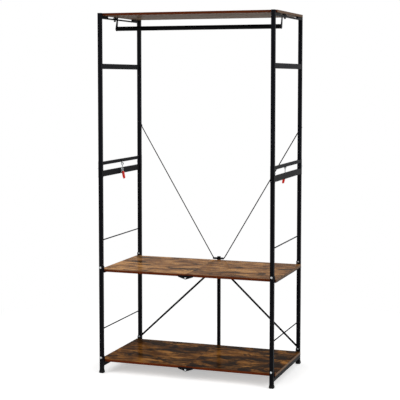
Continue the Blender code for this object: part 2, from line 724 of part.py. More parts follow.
def centre_bracket(name, side, top, pivot):
    """Strip under a board's inner end with two hinge plates, and the rivets on the left one."""
    outward = SIDES[side]
    under = top - BOARD_THICKNESS
    seat = under - GAP
    inner = outward * (SEAM_HALF_GAP + GAP)
    reach = PLATE_NEAR_END if side == "left" else BOARD_EDGE_Y
    item = box(name, (inner, -reach, seat - CENTRE_STRIP_THICKNESS),
               (inner + outward * CENTRE_STRIP_WIDTH, reach, seat))
    outline = hinge_outline(outward, top)
    z = under - CENTRE_PIVOT_DROP
    for depth, facing in DEPTHS.items():
        if side == "left":
            join(item, plate(f"{name}_{depth}_plate", outline, facing * PLATE_NEAR,
                             facing * PLATE_NEAR_END, group=cutters))
            join(item, centre_rivet(f"{name}_{depth}_rivet", z, depth, facing))
            continue
        join(item, plate(f"{name}_{depth}_plate", outline, facing * PLATE_FAR, facing * PLATE_FAR_END,
                         group=cutters))
        foot_x = HINGE_BOSS_RADIUS + GAP
        join(item, box(f"{name}_{depth}_tie", (foot_x, facing * (reach - HINGE_OVERLAP),
                                               seat - CENTRE_STRIP_THICKNESS + EMBED),
                       (CENTRE_STRIP_WIDTH - EMBED, facing * PLATE_NEAR_END, seat - EMBED),
                       group=cutters))
        join(item, box(f"{name}_{depth}_pad", (foot_x, facing * PLATE_NEAR, under - HINGE_TAIL + EMBED),
                       (HINGE_HALF_WIDTH, facing * PLATE_FAR_END - facing * EMBED, under + HINGE_OVERLAP),
                       group=cutters))
        cut(item, cylinder(f"{name}_{depth}_eye", (0, facing * PLATE_NEAR, z),
                           (0, facing * (PLATE_FAR_END + OVERRUN), z), BOLT_RADIUS + BOLT_HOLE_PLAY,
                           cutters))
    return hang(item, pivot, BLACK_STEEL)


def centre_rivet(name, z, depth, facing):
    """Front: a rivet with a round head. Rear: a stepped pin that also carries the centre post."""
    root = PLATE_NEAR + HINGE_PLATE / 2
    past = PLATE_FAR_END + GAP
    if depth == "front":
        tip = past + RIVET_HEAD
        profile = [(0, tip - root), (RIVET_HEAD_RADIUS, tip - root), (RIVET_HEAD_RADIUS, past - root),
                   (BOLT_RADIUS, past - root), (BOLT_RADIUS, 0), (0, 0)]
    else:
        seat = CENTRE_POST_FRONT - GAP
        tip = CENTRE_POST_FRONT + CENTRE_POST_SIZE - CENTRE_POST_WALL - 3 * GAP
        profile = [(0, tip - root), (BOLT_RADIUS, tip - root), (BOLT_RADIUS, seat - root),
                   (SPACER_RADIUS, seat - root), (SPACER_RADIUS, past - root),
                   (BOLT_RADIUS, past - root), (BOLT_RADIUS, 0), (0, 0)]
    return turned(name, profile, (0, facing * root, z), (0, facing, 0), cutters)


def build_shelf(label, top, pivots, brace_room):
    """Both halves of a folding shelf with their brackets."""
    for side, outward in SIDES.items():
        inner, outer = outward * SEAM_HALF_GAP, outward * BOARD_END_X
        half = board(f"{label}_board_{side}", min(inner, outer), max(inner, outer), top)
        hang(half, pivots[side], WOOD)
        end_bracket(f"{label}_end_bracket_{side}", side, top, pivots[side], brace_room)
        centre_bracket(f"{label}_centre_bracket_{side}", side, top, pivots[side])


# Rear linkage

def centre_post(pivot):
    """Square tube behind the shelves, with holes for the pins and for the stays' hooks."""
    item = square_post("centre_post", 0, CENTRE_POST_Y, CENTRE_POST_BASE, CENTRE_POST_TOP,
                       CENTRE_POST_SIZE)
    cut(item, square_post("centre_post_bore", 0, CENTRE_POST_Y, CENTRE_POST_BASE - OVERRUN,
                          CENTRE_POST_TOP + OVERRUN, CENTRE_POST_SIZE - 2 * CENTRE_POST_WALL, 0, cutters))
    for label, height in (("mid", MID_CENTRE_Z), ("low", LOW_CENTRE_Z)):
        cut(item, cylinder(f"centre_post_{label}_hole", (0, CENTRE_POST_FRONT - OVERRUN, height),
                           (0, CENTRE_POST_Y, height), BOLT_RADIUS + BOLT_HOLE_PLAY, cutters))
    hook_z = CENTRE_POST_TOP - STAY_HOOK_BELOW_TOP
    cut(item, cylinder("centre_post_hook_hole", (-CENTRE_POST_SIZE, CENTRE_POST_Y, hook_z),
                       (CENTRE_POST_SIZE, CENTRE_POST_Y, hook_z),
                       STAY_DIAMETER / 2 + STAY_HOLE_PLAY, cutters))
    return hang(item, pivot, BLACK_STEEL)


def slider(pivot):
    """Sleeve that slides on the centre post, with the pin that both braces turn on."""
    item = square_post("slider", 0, CENTRE_POST_Y, SLIDER_TOP - SLIDER_HEIGHT, SLIDER_TOP, SLIDER_SIZE)
    front = CENTRE_POST_Y - SLIDER_SIZE / 2
    root = front + SLIDER_WALL / 2
    near, far = root - BRACE_NEAR + GAP, root - BRACE_NEAR + GAP + APEX_HEAD
    profile = [(0, far), (APEX_HEAD_RADIUS, far), (APEX_HEAD_RADIUS, near), (APEX_PIN_RADIUS, near),
               (APEX_PIN_RADIUS, 0), (0, 0)]
    join(item, turned("slider_pin", profile, (0, root, APEX_Z), (0, -1, 0), cutters))
    cut(item, square_post("slider_bore", 0, CENTRE_POST_Y, SLIDER_TOP - SLIDER_HEIGHT - OVERRUN,
                          SLIDER_TOP + OVERRUN, CENTRE_POST_SIZE + 2 * GAP, 0, cutters))
    return hang(item, pivot, BLACK_STEEL)


def brace(side, pivot):
    """Flat bar from a low rear bolt up to the slider; the right one steps behind the left one."""
    name = f"brace_{side}"
    outward = SIDES[side]
    low, high = Vector((outward * POST_X, LOW_PIVOT_Z)), Vector((0, APEX_Z))
    length = (high - low).length
    along = (high - low) / length
    heading = math.degrees(math.atan2(along.y, along.x))
    half = BRACE_WIDTH / 2
    lower_end = arc(low, half, heading + 90, heading + 270)
    upper_end = arc(high, half, heading - 90, heading + 90)
    if side == "left":
        item = plate(name, lower_end + upper_end, BRACE_NEAR, BRACE_NEAR + BRACE_THICKNESS)
    else:
        step = high - along * BRACE_JOGGLE_LENGTH
        lap = high - along * (BRACE_JOGGLE_LENGTH - BRACE_JOGGLE_LAP)
        aside = Vector((-along.y, along.x)) * half
        item = plate(name, lower_end + [lap - aside, lap + aside], BRACE_NEAR,
                     BRACE_NEAR + BRACE_THICKNESS)
        join(item, plate(name + "_step", [step + aside, step - aside] + upper_end, BRACE_FAR,
                         BRACE_FAR + BRACE_THICKNESS, group=cutters))
        start, stop, trim = step + along * EMBED, lap - along * EMBED, aside * BRACE_WEB_SHARE
        join(item, plate(name + "_web", [start + trim, start - trim, stop - trim, stop + trim],
                         BRACE_NEAR + EMBED, BRACE_FAR + EMBED, group=cutters))
    for label, point, radius in (("low", low, BOLT_RADIUS + BOLT_HOLE_PLAY),
                                 ("apex", high, APEX_PIN_RADIUS + APEX_HOLE_PLAY)):
        cut(item, cylinder(f"{name}_{label}_hole", (point.x, BRACE_NEAR - OVERRUN, point.y),
                           (point.x, BRACE_FAR + BRACE_THICKNESS + OVERRUN, point.y), radius, cutters))
    return hang(item, pivot, BLACK_STEEL)


def stay(side, pivot):
    """Round stay with a flat eye on the rear post and a hook that enters the centre post."""
    name = f"stay_{side}"
    outward = SIDES[side]
    hook_z = CENTRE_POST_TOP - STAY_HOOK_BELOW_TOP
    top = Vector((outward * POST_X, STAY_PIVOT_Z))
    corner = Vector((outward * STAY_FOOT_X, hook_z))
    down = (corner - top).normalized()
    inward = Vector((-outward, 0))
    bend = math.acos(max(-1, min(1, down.dot(inward))))
    trim = STAY_BEND_RADIUS * math.tan(bend / 2)
    start, end = corner - down * trim, corner + inward * trim
    centre = end + Vector((0, STAY_BEND_RADIUS))
    first = math.atan2(start.y - centre.y, start.x - centre.x)
    turn = outward * -bend
    path = [top]
    for count in range(BEND_POINTS + 1):
        angle = first + turn * count / BEND_POINTS
        path.append(centre + Vector((math.cos(angle), math.sin(angle))) * STAY_BEND_RADIUS)
    inside = outward * (CENTRE_POST_SIZE / 2 - CENTRE_POST_WALL - STAY_HOOK_DEPTH)
    path.append(Vector((inside, hook_z)))
    item = wire(name, [(p.x, CENTRE_POST_Y, p.y) for p in path], STAY_DIAMETER / 2)
    half = STAY_EYE_THICKNESS / 2
    for label, facing in (("front", -1), ("rear", 1)):
        near = CENTRE_POST_Y + facing * (half - STAY_FLAT_INSET)
        far = CENTRE_POST_Y + facing * (half + STAY_DIAMETER)
        cut(item, cylinder(f"{name}_{label}_flat", (top.x, near, top.y), (top.x, far, top.y),
                           STAY_EYE_RADIUS + EMBED, cutters))
    join(item, cylinder(name + "_eye", (top.x, CENTRE_POST_Y - half, top.y),
                        (top.x, CENTRE_POST_Y + half, top.y), STAY_EYE_RADIUS, cutters))
    cut(item, cylinder(name + "_eye_hole", (top.x, CENTRE_POST_Y - STAY_DIAMETER, top.y),
                       (top.x, CENTRE_POST_Y + STAY_DIAMETER, top.y), STAY_PIN_RADIUS + BOLT_HOLE_PLAY,
                       cutters))
    return hang(item, pivot, BLACK_STEEL)


# Top board, hanging rail and knobs

def hanging_rail(pivot):
    """Round tube with an upright strap at each end, whose tab lies in the top rail's notch."""
    item = cylinder("hanging_rail", (-RAIL_END_X + STRAP_THICKNESS / 2, HANGING_RAIL_Y, HANGING_RAIL_Z),
                    (RAIL_END_X - STRAP_THICKNESS / 2, HANGING_RAIL_Y, HANGING_RAIL_Z),
                    HANGING_RAIL_DIAMETER / 2, steps=RAIL_STEPS)
    bore = HANGING_RAIL_DIAMETER / 2 - HANGING_RAIL_WALL
    cut(item, cylinder("hanging_rail_bore", (-RAIL_END_X, HANGING_RAIL_Y, HANGING_RAIL_Z),
                       (RAIL_END_X, HANGING_RAIL_Y, HANGING_RAIL_Z), bore, cutters))
    radius, half = HANGING_RAIL_DIAMETER / 2 + STRAP_RIM, STRAP_WIDTH / 2
    tab_top = TAB_BASE + STRAP_THICKNESS
    outline = arc((HANGING_RAIL_Y, HANGING_RAIL_Z), radius, 180, 360, 2 * ARC_POINTS)
    outline += [(HANGING_RAIL_Y + radius, HANGING_RAIL_Z), (TAB_Y + half, tab_top - STRAP_WIDTH),
                (TAB_Y + half, tab_top), (TAB_Y - half, tab_top), (TAB_Y - half, tab_top - STRAP_WIDTH)]
    for side, outward in SIDES.items():
        outer, inner = outward * RAIL_END_X, outward * (RAIL_END_X - STRAP_THICKNESS)
        join(item, plate(f"hanging_rail_{side}_strap", dedupe(outline), inner, outer, "X", cutters))
        join(item, box(f"hanging_rail_{side}_tab", (inner + outward * EMBED, TAB_Y - half + EMBED, TAB_BASE),
                       (outer + outward * TAB_REACH, TAB_Y + half - EMBED, tab_top), group=cutters))
        cut(item, cylinder(f"hanging_rail_{side}_vent", (inner - outward * OVERRUN, HANGING_RAIL_Y,
                                                         HANGING_RAIL_Z),
                           (outer + outward * OVERRUN, HANGING_RAIL_Y, HANGING_RAIL_Z),
                           STRAP_VENT_RADIUS, cutters, FINE_STEPS))
    return hang(item, pivot, BLACK_STEEL)


def dedupe(points):
    """Drop a point that repeats the one before it."""
    kept = []
    for point in points:
        if not kept or (Vector(point) - Vector(kept[-1])).length > GAP / 10:
            kept.append(point)
    return kept


def knob(side):
    """Fluted thumb knob under a top rail, with the stem that reaches the tab."""
    x = SIDES[side] * (BAR_INNER_X + BAR_THICKNESS / 2)
    seat = TOP_RAIL_BASE - GAP
    tip = TAB_BASE - GAP
    rim = seat - KNOB_NECK
    base = rim - KNOB_HEIGHT
    profile = [(0, tip - base), (KNOB_STEM_RADIUS, tip - base), (KNOB_STEM_RADIUS, seat - base),
               (KNOB_NECK_RADIUS, seat - base), (KNOB_NECK_RADIUS, rim - base),
               (KNOB_RADIUS, rim - base), (KNOB_RADIUS, KNOB_NECK), (KNOB_NECK_RADIUS, 0), (0, 0)]
    pivot = make_pivot(f"pivot_knob_{side}", (x, TAB_Y, seat), frames[side])
    item = turned(f"knob_{side}", profile, (x, TAB_Y, base), (0, 0, 1))
    for count in range(KNOB_FLUTES):
        angle = 2 * math.pi * count / KNOB_FLUTES
        px, py = x + KNOB_RADIUS * math.cos(angle), TAB_Y + KNOB_RADIUS * math.sin(angle)
        cut(item, cylinder(f"knob_{side}_flute_{count}", (px, py, base - OVERRUN), (px, py, rim - KNOB_NECK),
                           KNOB_FLUTE_RADIUS, cutters, FLUTE_STEPS))
    return hang(item, pivot, BLACK_PLASTIC)


# Toggle latches and spring buttons

def latch_x(side, reach):
    """World X at a distance inwards from the bars' inner face."""
    return SIDES[side] * (BAR_INNER_X - reach)


def latch_base(side):
    """Plate on the latch bar with two ears, each with a short pin for the lever."""
    name = f"latch_base_{side}"
    half = LATCH_BASE_HALF_WIDTH
    top = LATCH_BAR_BASE + LATCH_BAR_HEIGHT - EMBED
    item = box(name, (latch_x(side, GAP), -half - EMBED, LATCH_BASE_BOTTOM),
               (latch_x(side, GAP + LATCH_BASE_PLATE), half + EMBED, top))
    x = latch_x(side, LATCH_PIVOT_REACH)
    back = latch_x(side, GAP + LATCH_BASE_PLATE / 2)
    rise = LATCH_EAR_RADIUS * EAR_WEB_SHARE
    inner = half - CHEEK_THICKNESS
    stub = LATCH_PLAY + CHEEK_THICKNESS + GAP / 2
    profile = [(0, CHEEK_THICKNESS), (LATCH_EAR_RADIUS, CHEEK_THICKNESS), (LATCH_EAR_RADIUS, 0),
               (LATCH_PIN_RADIUS, 0), (LATCH_PIN_RADIUS, -stub), (0, -stub)]
    for depth, facing in DEPTHS.items():
        join(item, turned(f"{name}_{depth}_ear", profile, (x, facing * inner, LATCH_PIVOT_Z),
                          (0, facing, 0), cutters))
        join(item, box(f"{name}_{depth}_web", (back, facing * (inner + EAR_WEB_INSET), LATCH_PIVOT_Z - rise),
                       (x, facing * (half - EAR_WEB_INSET), LATCH_PIVOT_Z + rise), group=cutters))
    return hang(item, frames[side], BRIGHT_STEEL)


def slanted_box(name, side, start, end, half_width, thickness, radius=0, group=None):
    """A box that follows the lever's slanting tongue, between two distances from the pivot."""
    work = box_work((-thickness / 2, -half_width, -end), (thickness / 2, half_width, -start), None, radius)
    turn = Matrix.Rotation(SIDES[side] * TONGUE_SLANT, 4, "Y")
    place = Matrix.Translation((latch_x(side, LATCH_PIVOT_REACH), 0, LATCH_PIVOT_Z))
    bmesh.ops.transform(work, matrix=place @ turn, verts=work.verts)
    return add_mesh(name, work, group)


def latch_lever(side, pivot):
    """Lever: two cheeks on the base's pins, the bail's cross pin, and the tongue in the grip."""
    name = f"latch_lever_{side}"
    x = latch_x(side, LATCH_PIVOT_REACH)
    inward = -SIDES[side]
    lean = math.tan(TONGUE_SLANT)
    half = TONGUE_THICKNESS
    foot_u = CHEEK_LENGTH * lean
    strip = [(foot_u - half, -CHEEK_LENGTH), (foot_u + half, -CHEEK_LENGTH), (CHEEK_RADIUS, -BAIL_PIVOT_DROP)]
    strip += arc((0, 0), CHEEK_RADIUS, 0, 180, 2 * ARC_POINTS)
    strip += [(-CHEEK_RADIUS, -BAIL_PIVOT_DROP)]
    outline = [(x + inward * u, LATCH_PIVOT_Z + up) for u, up in strip]
    outer = LATCH_BASE_HALF_WIDTH - CHEEK_THICKNESS - LATCH_PLAY
    inner = outer - CHEEK_THICKNESS
    item = slanted_box(name, side, TONGUE_START, TONGUE_END, inner + EMBED, TONGUE_THICKNESS)
    for depth, facing in DEPTHS.items():
        join(item, plate(f"{name}_{depth}_cheek", outline, facing * inner, facing * outer, group=cutters))
    join(item, cylinder(name + "_cross_pin", (x, -inner - EMBED, BAIL_PIVOT_Z),
                        (x, inner + EMBED, BAIL_PIVOT_Z), BAIL_PIN_RADIUS, cutters, FINE_STEPS))
    cut(item, cylinder(name + "_pivot_hole", (x, -outer - OVERRUN, LATCH_PIVOT_Z),
                       (x, outer + OVERRUN, LATCH_PIVOT_Z), LATCH_PIN_RADIUS + LATCH_PLAY, cutters,
                       FINE_STEPS))
    return hang(item, pivot, BRIGHT_STEEL)


def latch_grip(side, pivot):
    """Dipped sleeve over the lever's tongue, closed at its lower end."""
    name = f"latch_grip_{side}"
    item = slanted_box(name, side, GRIP_START, GRIP_END, GRIP_HALF_WIDTH, GRIP_THICKNESS, GRIP_ROUND)
    pocket_half = LATCH_BASE_HALF_WIDTH - 2 * CHEEK_THICKNESS - LATCH_PLAY + EMBED + GAP
    cut(item, slanted_box(name + "_pocket", side, GRIP_START - OVERRUN, TONGUE_END + GAP, pocket_half,
                          TONGUE_THICKNESS + 2 * GAP, 0, cutters))
    return hang(item, pivot, RED_GRIP)


def latch_bail(side, pivot):
    """Pull rod: a barrel on the lever's cross pin, a neck, and the eye over the keeper's hook."""
    name = f"latch_bail_{side}"
    x = latch_x(side, LATCH_PIVOT_REACH)
    inward = -SIDES[side]
    tangent = Vector((inward * math.sin(EYE_TWIST), math.cos(EYE_TWIST), 0))
    centre = Vector((x, 0, EYE_Z))
    ring = []
    for count in range(EYE_POINTS):
        angle = 2 * math.pi * count / EYE_POINTS
        ring.append(centre + tangent * EYE_RADIUS * math.cos(angle)
                    + Vector((0, 0, EYE_RADIUS * math.sin(angle))))
    item = wire(name, ring, EYE_WIRE_RADIUS, True)
    join(item, cylinder(name + "_neck", (x, 0, BAIL_PIVOT_Z), (x, 0, EYE_Z - EYE_RADIUS), BAIL_NECK_RADIUS,
                        cutters, FINE_STEPS))
    inner = LATCH_BASE_HALF_WIDTH - 2 * CHEEK_THICKNESS - LATCH_PLAY
    reach = inner - LATCH_PLAY
    join(item, cylinder(name + "_barrel", (x, -reach, BAIL_PIVOT_Z), (x, reach, BAIL_PIVOT_Z),
                        BAIL_BARREL_RADIUS, cutters, ROUND_STEPS))
    cut(item, cylinder(name + "_barrel_hole", (x, -reach - OVERRUN, BAIL_PIVOT_Z),
                       (x, reach + OVERRUN, BAIL_PIVOT_Z), BAIL_PIN_RADIUS + LATCH_PLAY, cutters,
                       FINE_STEPS))
    return hang(item, pivot, BRIGHT_STEEL)


def build_latch(side):
    """One toggle latch, with its lever's and its bail's own pivots."""
    x = latch_x(side, LATCH_PIVOT_REACH)
    lever_pivot = make_pivot(f"pivot_latch_lever_{side}", (x, 0, LATCH_PIVOT_Z), frames[side])
    bail_pivot = make_pivot(f"pivot_latch_bail_{side}", (x, 0, BAIL_PIVOT_Z), lever_pivot)
    latch_base(side)
    latch_lever(side, lever_pivot)
    latch_grip(side, lever_pivot)
    latch_bail(side, bail_pivot)


def button(side, depth):
    """Domed spring button that looks out of the outer face, with its flange inside the spigot."""
    outward = SIDES[side]
    y = DEPTHS[depth] * POST_Y
    wall = outward * (POST_X + SPIGOT_SIZE / 2 - SPIGOT_WALL - GAP)
    tip = HALF_WIDTH + COLLAR_PROUD + BUTTON_PROUD - abs(wall)
    profile = [(0, tip), (BUTTON_CROWN_RADIUS, tip), (BUTTON_RADIUS, tip - BUTTON_CROWN_HEIGHT),
               (BUTTON_RADIUS, 0), (BUTTON_FLANGE_RADIUS, 0), (BUTTON_FLANGE_RADIUS, -BUTTON_FLANGE),
               (0, -BUTTON_FLANGE)]
    pivot = make_pivot(f"pivot_button_{depth}_{side}", (wall, y, BUTTON_Z), frames[side])
    item = turned(f"button_{depth}_{side}", profile, (wall, y, BUTTON_Z), (outward, 0, 0),
                  steps=ROD_STEPS)
    return hang(item, pivot, BRIGHT_STEEL)


# Assembly

clear_scene()
datum = make_pivot("rack_datum", (0, 0, 0))
datum.location = (0, DATUM_Y, 0)

mid_pivots = {"left": make_pivot("pivot_mid_left", (-POST_X, 0, MID_PIVOT_Z), datum)}
mid_pivots["right"] = make_pivot("pivot_mid_right", (0, 0, MID_CENTRE_Z), mid_pivots["left"])
frames = {"left": datum, "right": make_pivot("pivot_right_frame", (POST_X, 0, MID_PIVOT_Z),
                                             mid_pivots["right"])}
low_pivots = {side: make_pivot(f"pivot_low_{side}", (SIDES[side] * POST_X, 0, LOW_PIVOT_Z), frames[side])
              for side in SIDES}
post_pivot = make_pivot("pivot_centre_post", (0, CENTRE_POST_Y, MID_CENTRE_Z), mid_pivots["left"])
slider_pivot = make_pivot("pivot_slider", (0, CENTRE_POST_Y, APEX_Z), post_pivot)
top_pivot = make_pivot("pivot_top", (0, 0, TOP_BOARD_BASE), datum)

for frame_side in SIDES:
    build_frame(frame_side)
    build_latch(frame_side)
    knob(frame_side)
    post_axis = SIDES[frame_side] * POST_X
    brace(frame_side, make_pivot(f"pivot_brace_{frame_side}", (post_axis, BRACE_NEAR, LOW_PIVOT_Z),
                                 frames[frame_side]))
    stay(frame_side, make_pivot(f"pivot_stay_{frame_side}", (post_axis, CENTRE_POST_Y, STAY_PIVOT_Z),
                                frames[frame_side]))
    for frame_depth in DEPTHS:
        button(frame_side, frame_depth)

build_shelf("mid", MID_SHELF_TOP, mid_pivots, 0)
build_shelf("low", LOW_SHELF_TOP, low_pivots, BRACE_THICKNESS + GAP)
centre_post(post_pivot)
slider(slider_pivot)
hang(board("top_board", -BOARD_END_X, BOARD_END_X, RACK_HEIGHT), top_pivot, WOOD)
hanging_rail(top_pivot)
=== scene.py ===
"""Looks of the folding clothes rack: its finishes, its small hardware, the studio and the camera."""
import logging
import math
import random
from dataclasses import dataclass, field, replace
from enum import Enum
from functools import cache
from typing import Any, Optional, Sequence, Union

import bmesh
import bpy
from mathutils import Matrix, Vector


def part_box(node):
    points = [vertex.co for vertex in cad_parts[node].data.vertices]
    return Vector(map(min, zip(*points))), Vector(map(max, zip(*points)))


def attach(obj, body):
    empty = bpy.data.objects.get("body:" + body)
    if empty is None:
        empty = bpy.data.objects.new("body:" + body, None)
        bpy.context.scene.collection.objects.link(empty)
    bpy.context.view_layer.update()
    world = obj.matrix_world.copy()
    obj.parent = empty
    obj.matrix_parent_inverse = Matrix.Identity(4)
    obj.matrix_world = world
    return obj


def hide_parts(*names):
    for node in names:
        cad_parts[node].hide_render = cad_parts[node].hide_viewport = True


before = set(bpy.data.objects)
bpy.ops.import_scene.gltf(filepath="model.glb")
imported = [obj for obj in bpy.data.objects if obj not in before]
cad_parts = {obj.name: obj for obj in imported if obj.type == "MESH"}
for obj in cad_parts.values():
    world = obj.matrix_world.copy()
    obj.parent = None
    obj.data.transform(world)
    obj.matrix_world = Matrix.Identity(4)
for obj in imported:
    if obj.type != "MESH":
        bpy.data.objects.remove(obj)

LOG = logging.getLogger("clothes_rack")
SAME_POINT = 0.000002
ORIGIN, UP = Vector(), Vector((0, 0, 1))
FORWARD, BACKWARD = Vector((0, -1, 0)), Vector((0, 1, 0))
LOWER_BARS = ("bottom_rail", "latch_bar")
UPPER_BARS = ("keeper_bar", "crossbar", "top_rail")
RODS = ("side_rod_lower", "side_rod_upper")
Mesh, Edge, Face = bmesh.types.BMesh, bmesh.types.BMEdge, bmesh.types.BMFace
Item, Material = bpy.types.Object, bpy.types.Material
Pair, Triple = tuple[float, float], tuple[float, float, float]
Profile = Sequence[Pair]
Value = Union["Signal", float]


class Choice(Enum):
    """A named option that prints as its own word."""

    def __str__(self) -> str:
        """The option's word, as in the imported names."""
        return self.value


class Slot(Choice):
    """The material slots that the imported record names."""

    BLACK_STEEL = "black_steel"
    BRIGHT_STEEL = "bright_steel"
    WOOD = "wood"
    BLACK_PLASTIC = "black_plastic"
    RED_GRIP = "red_grip"


class Side(Choice):
    """The two ends of the rack."""

    LEFT = "left"
    RIGHT = "right"

    @property
    def outward(self) -> int:
        """The sign of X away from the middle."""
        return 1 if self is Side.RIGHT else -1


class Row(Choice):
    """The front and the rear posts."""

    FRONT = "front"
    REAR = "rear"

    @property
    def outward(self) -> int:
        """The sign of Y away from the middle."""
        return 1 if self is Row.REAR else -1


class Level(Choice):
    """The two hinged shelves."""

    MID = "mid"
    LOW = "low"


class Signal:
    """A shader socket that takes part in plain Python arithmetic."""

    def __init__(self, bench: "Bench", socket: bpy.types.NodeSocket) -> None:
        """Keep the socket and the bench that its nodes stand on."""
        self.bench = bench
        self.socket = socket

    def maths(self, operation: str, *values: Value) -> "Signal":
        """Add one Math node on some values."""
        return self.bench.node("ShaderNodeMath", {"operation": operation}, dict(enumerate(values)))

    def __add__(self, other: Value) -> "Signal":
        """Sum."""
        return self.maths("ADD", self, other)

    def __radd__(self, other: float) -> "Signal":
        """Sum with a number on the left."""
        return self.maths("ADD", other, self)

    def __sub__(self, other: Value) -> "Signal":
        """Difference."""
        return self.maths("SUBTRACT", self, other)

    def __rsub__(self, other: float) -> "Signal":
        """Difference from a number on the left."""
        return self.maths("SUBTRACT", other, self)

    def __mul__(self, other: Value) -> "Signal":
        """Product."""
        return self.maths("MULTIPLY", self, other)

    def __rmul__(self, other: float) -> "Signal":
        """Product with a number on the left."""
        return self.maths("MULTIPLY", other, self)

    def size(self) -> "Signal":
        """The value without its sign."""
        return self.maths("ABSOLUTE", self)

    def above(self, limit: float) -> "Signal":
        """One where the value passes the limit, and zero elsewhere."""
        return self.maths("GREATER_THAN", self, limit)

    def span(self, low: float, high: float) -> "Signal":
        """Zero below one limit and one above the other, with a smooth way between."""
        return self.bench.node("ShaderNodeMapRange", {"interpolation_type": "SMOOTHSTEP"},
                               {"Value": self, "From Min": low, "From Max": high})


class Bench:
    """A material or a world under construction: its node tree and its shader."""

    def __init__(self, owner: Union[Material, bpy.types.World]) -> None:
        """Give the owner nodes and find its shader."""
        owner.use_nodes = True
        self.tree = owner.node_tree
        self.shader = next(item for item in self.tree.nodes if item.outputs)

    def node(self, kind: str, settings: Optional[dict[str, Any]] = None,
             inputs: Optional[dict[Any, Any]] = None, output: Union[int, str] = 0) -> Signal:
        """Add a node of any type.

        Args:
            kind: The node's type name.
            settings: Its own properties, set first.
            inputs: Values or signals for its sockets, by name or number.
            output: The output socket that is wanted.

        Returns:
            The wanted output.
        """
        made = self.tree.nodes.new(kind)
        for key, value in (settings or {}).items():
            setattr(made, key, value)
        for key, value in (inputs or {}).items():
            self.feed(made.inputs[key], value)
        return Signal(self, made.outputs[output])

    def feed(self, socket: bpy.types.NodeSocket, value: Any) -> None:
        """Link a signal to a socket, or set the socket's own value.

        Args:
            socket: The input socket.
            value: A signal, a number, or a colour or vector as a tuple.
        """
        if isinstance(value, Signal):
            self.tree.links.new(value.socket, socket)
        elif isinstance(value, tuple) and socket.type == "RGBA":
            socket.default_value = (*value, 1.0)
        else:
            socket.default_value = value

    def set(self, **values: Any) -> None:
        """Fill the shader's sockets; underscores in a name stand for its spaces."""
        for key, value in values.items():
            self.feed(self.shader.inputs[key.replace("_", " ")], value)

    def blend(self, share: Value, first: Any, second: Any) -> Signal:
        """Mix two colours by a share."""
        return self.node("ShaderNodeMix", {"data_type": "RGBA"}, {0: share, 6: first, 7: second}, 2)

    def ramp(self, share: Signal, spots: Sequence[float], colours: Sequence[Triple]) -> Signal:
        """Lay colours along a ramp.

        Args:
            share: The value that picks the colour.
            spots: Where each colour stands.
            colours: The colours.

        Returns:
            The picked colour.
        """
        made = self.node("ShaderNodeValToRGB", inputs={0: share})
        band = made.socket.node.color_ramp
        while len(band.elements) < len(spots):
            band.elements.new(0.5)
        for knot, spot, colour in zip(band.elements, spots, colours):
            knot.position = spot
            knot.color = (*colour, 1.0)
        return made

    def relief(self, height: Signal, strength: float, depth: float) -> Signal:
        """A Bump node for the shader's Normal."""
        return self.node("ShaderNodeBump", inputs={"Height": height, "Strength": strength, "Distance": depth})


@dataclass(frozen=True)
class Cloud:
    """A cloud pattern: its size and detail, its stretch along each axis, and the limits it fades between."""

    scale: float
    detail: float = 3.0
    roughness: float = 0.5
    distortion: float = 0.0
    stretch: Triple = (1.0, 1.0, 1.0)
    limits: Optional[Pair] = None

    @cache
    def draw(self, bench: Bench, shift: Triple = (0.0, 0.0, 0.0)) -> Signal:
        """Draw the pattern once on a bench, in object coordinates.

        Args:
            bench: The material under construction.
            shift: How far the pattern is moved.

        Returns:
            A value between zero and one.
        """
        at = bench.node("ShaderNodeTexCoord", output="Object")
        at = bench.node("ShaderNodeMapping", inputs={"Vector": at, "Location": shift, "Scale": self.stretch})
        made = bench.node("ShaderNodeTexNoise", inputs={
            "Vector": at, "Scale": self.scale, "Detail": self.detail, "Roughness": self.roughness,
            "Distortion": self.distortion})
        return made.span(*self.limits) if self.limits else made


DRIFT = Cloud(9.0, 4.0, limits=(0.3, 0.7))
PEBBLES = Cloud(620.0, 2.0)
SCUFFS = Cloud(16.0, 6.0, 0.7, stretch=(14.0, 14.0, 3.0), limits=(0.60, 0.78))
RIPPLES = Cloud(420.0, 3.0, 0.6, 0.6)
DRAWING_MARKS = Cloud(46.0, 4.0, 0.65, stretch=(40.0, 40.0, 6.0))
BLOOM = Cloud(130.0, limits=(0.35, 0.75))
WAVES = Cloud(190.0, 2.0)
RUBS = Cloud(9.0, 5.0, 0.7, stretch=(60.0, 60.0, 16.0), limits=(0.55, 0.75))
SPARK_GRAIN = Cloud(1500.0, 2.0)
DUST_FILM = Cloud(55.0, 5.0, 0.65, limits=(0.5, 0.8))
Layers = tuple[tuple[Cloud, float], ...]


@dataclass(frozen=True)
class Finish:
    """A finish: the name of its material and its slot in the record."""

    name: str
    slot: Slot

    def paint(self, bench: Bench) -> None:
        """Wire the finish to the shader of a bench."""
        raise NotImplementedError

    @cache
    def mix(self) -> Material:
        """Mix the finish once, for every piece that wears it.

        Returns:
            The material.
        """
        made = bpy.data.materials.new(self.name)
        self.paint(Bench(made))
        return made


@dataclass(frozen=True)
class Coat(Finish):
    """A skin of two colours. Layers of clouds mix the colours and add to the roughness."""

    colour: Triple
    accent: Triple
    roughness: float
    tones: Layers
    sheens: Layers
    skin: Cloud
    relief: Pair
    gloss: float = 0.5
    metallic: float = 0.0

    def paint(self, bench: Bench) -> None:
        """Wire the colours, the sheen and the skin.

        Args:
            bench: The material under construction.
        """
        tone, sheen = (sum(cloud.draw(bench) * share for cloud, share in layers)
                       for layers in (self.tones, self.sheens))
        bench.set(Base_Color=bench.blend(tone, self.colour, self.accent), Roughness=self.roughness + sheen,
                  Specular_IOR_Level=self.gloss, Metallic=self.metallic,
                  Normal=bench.relief(self.skin.draw(bench), *self.relief))


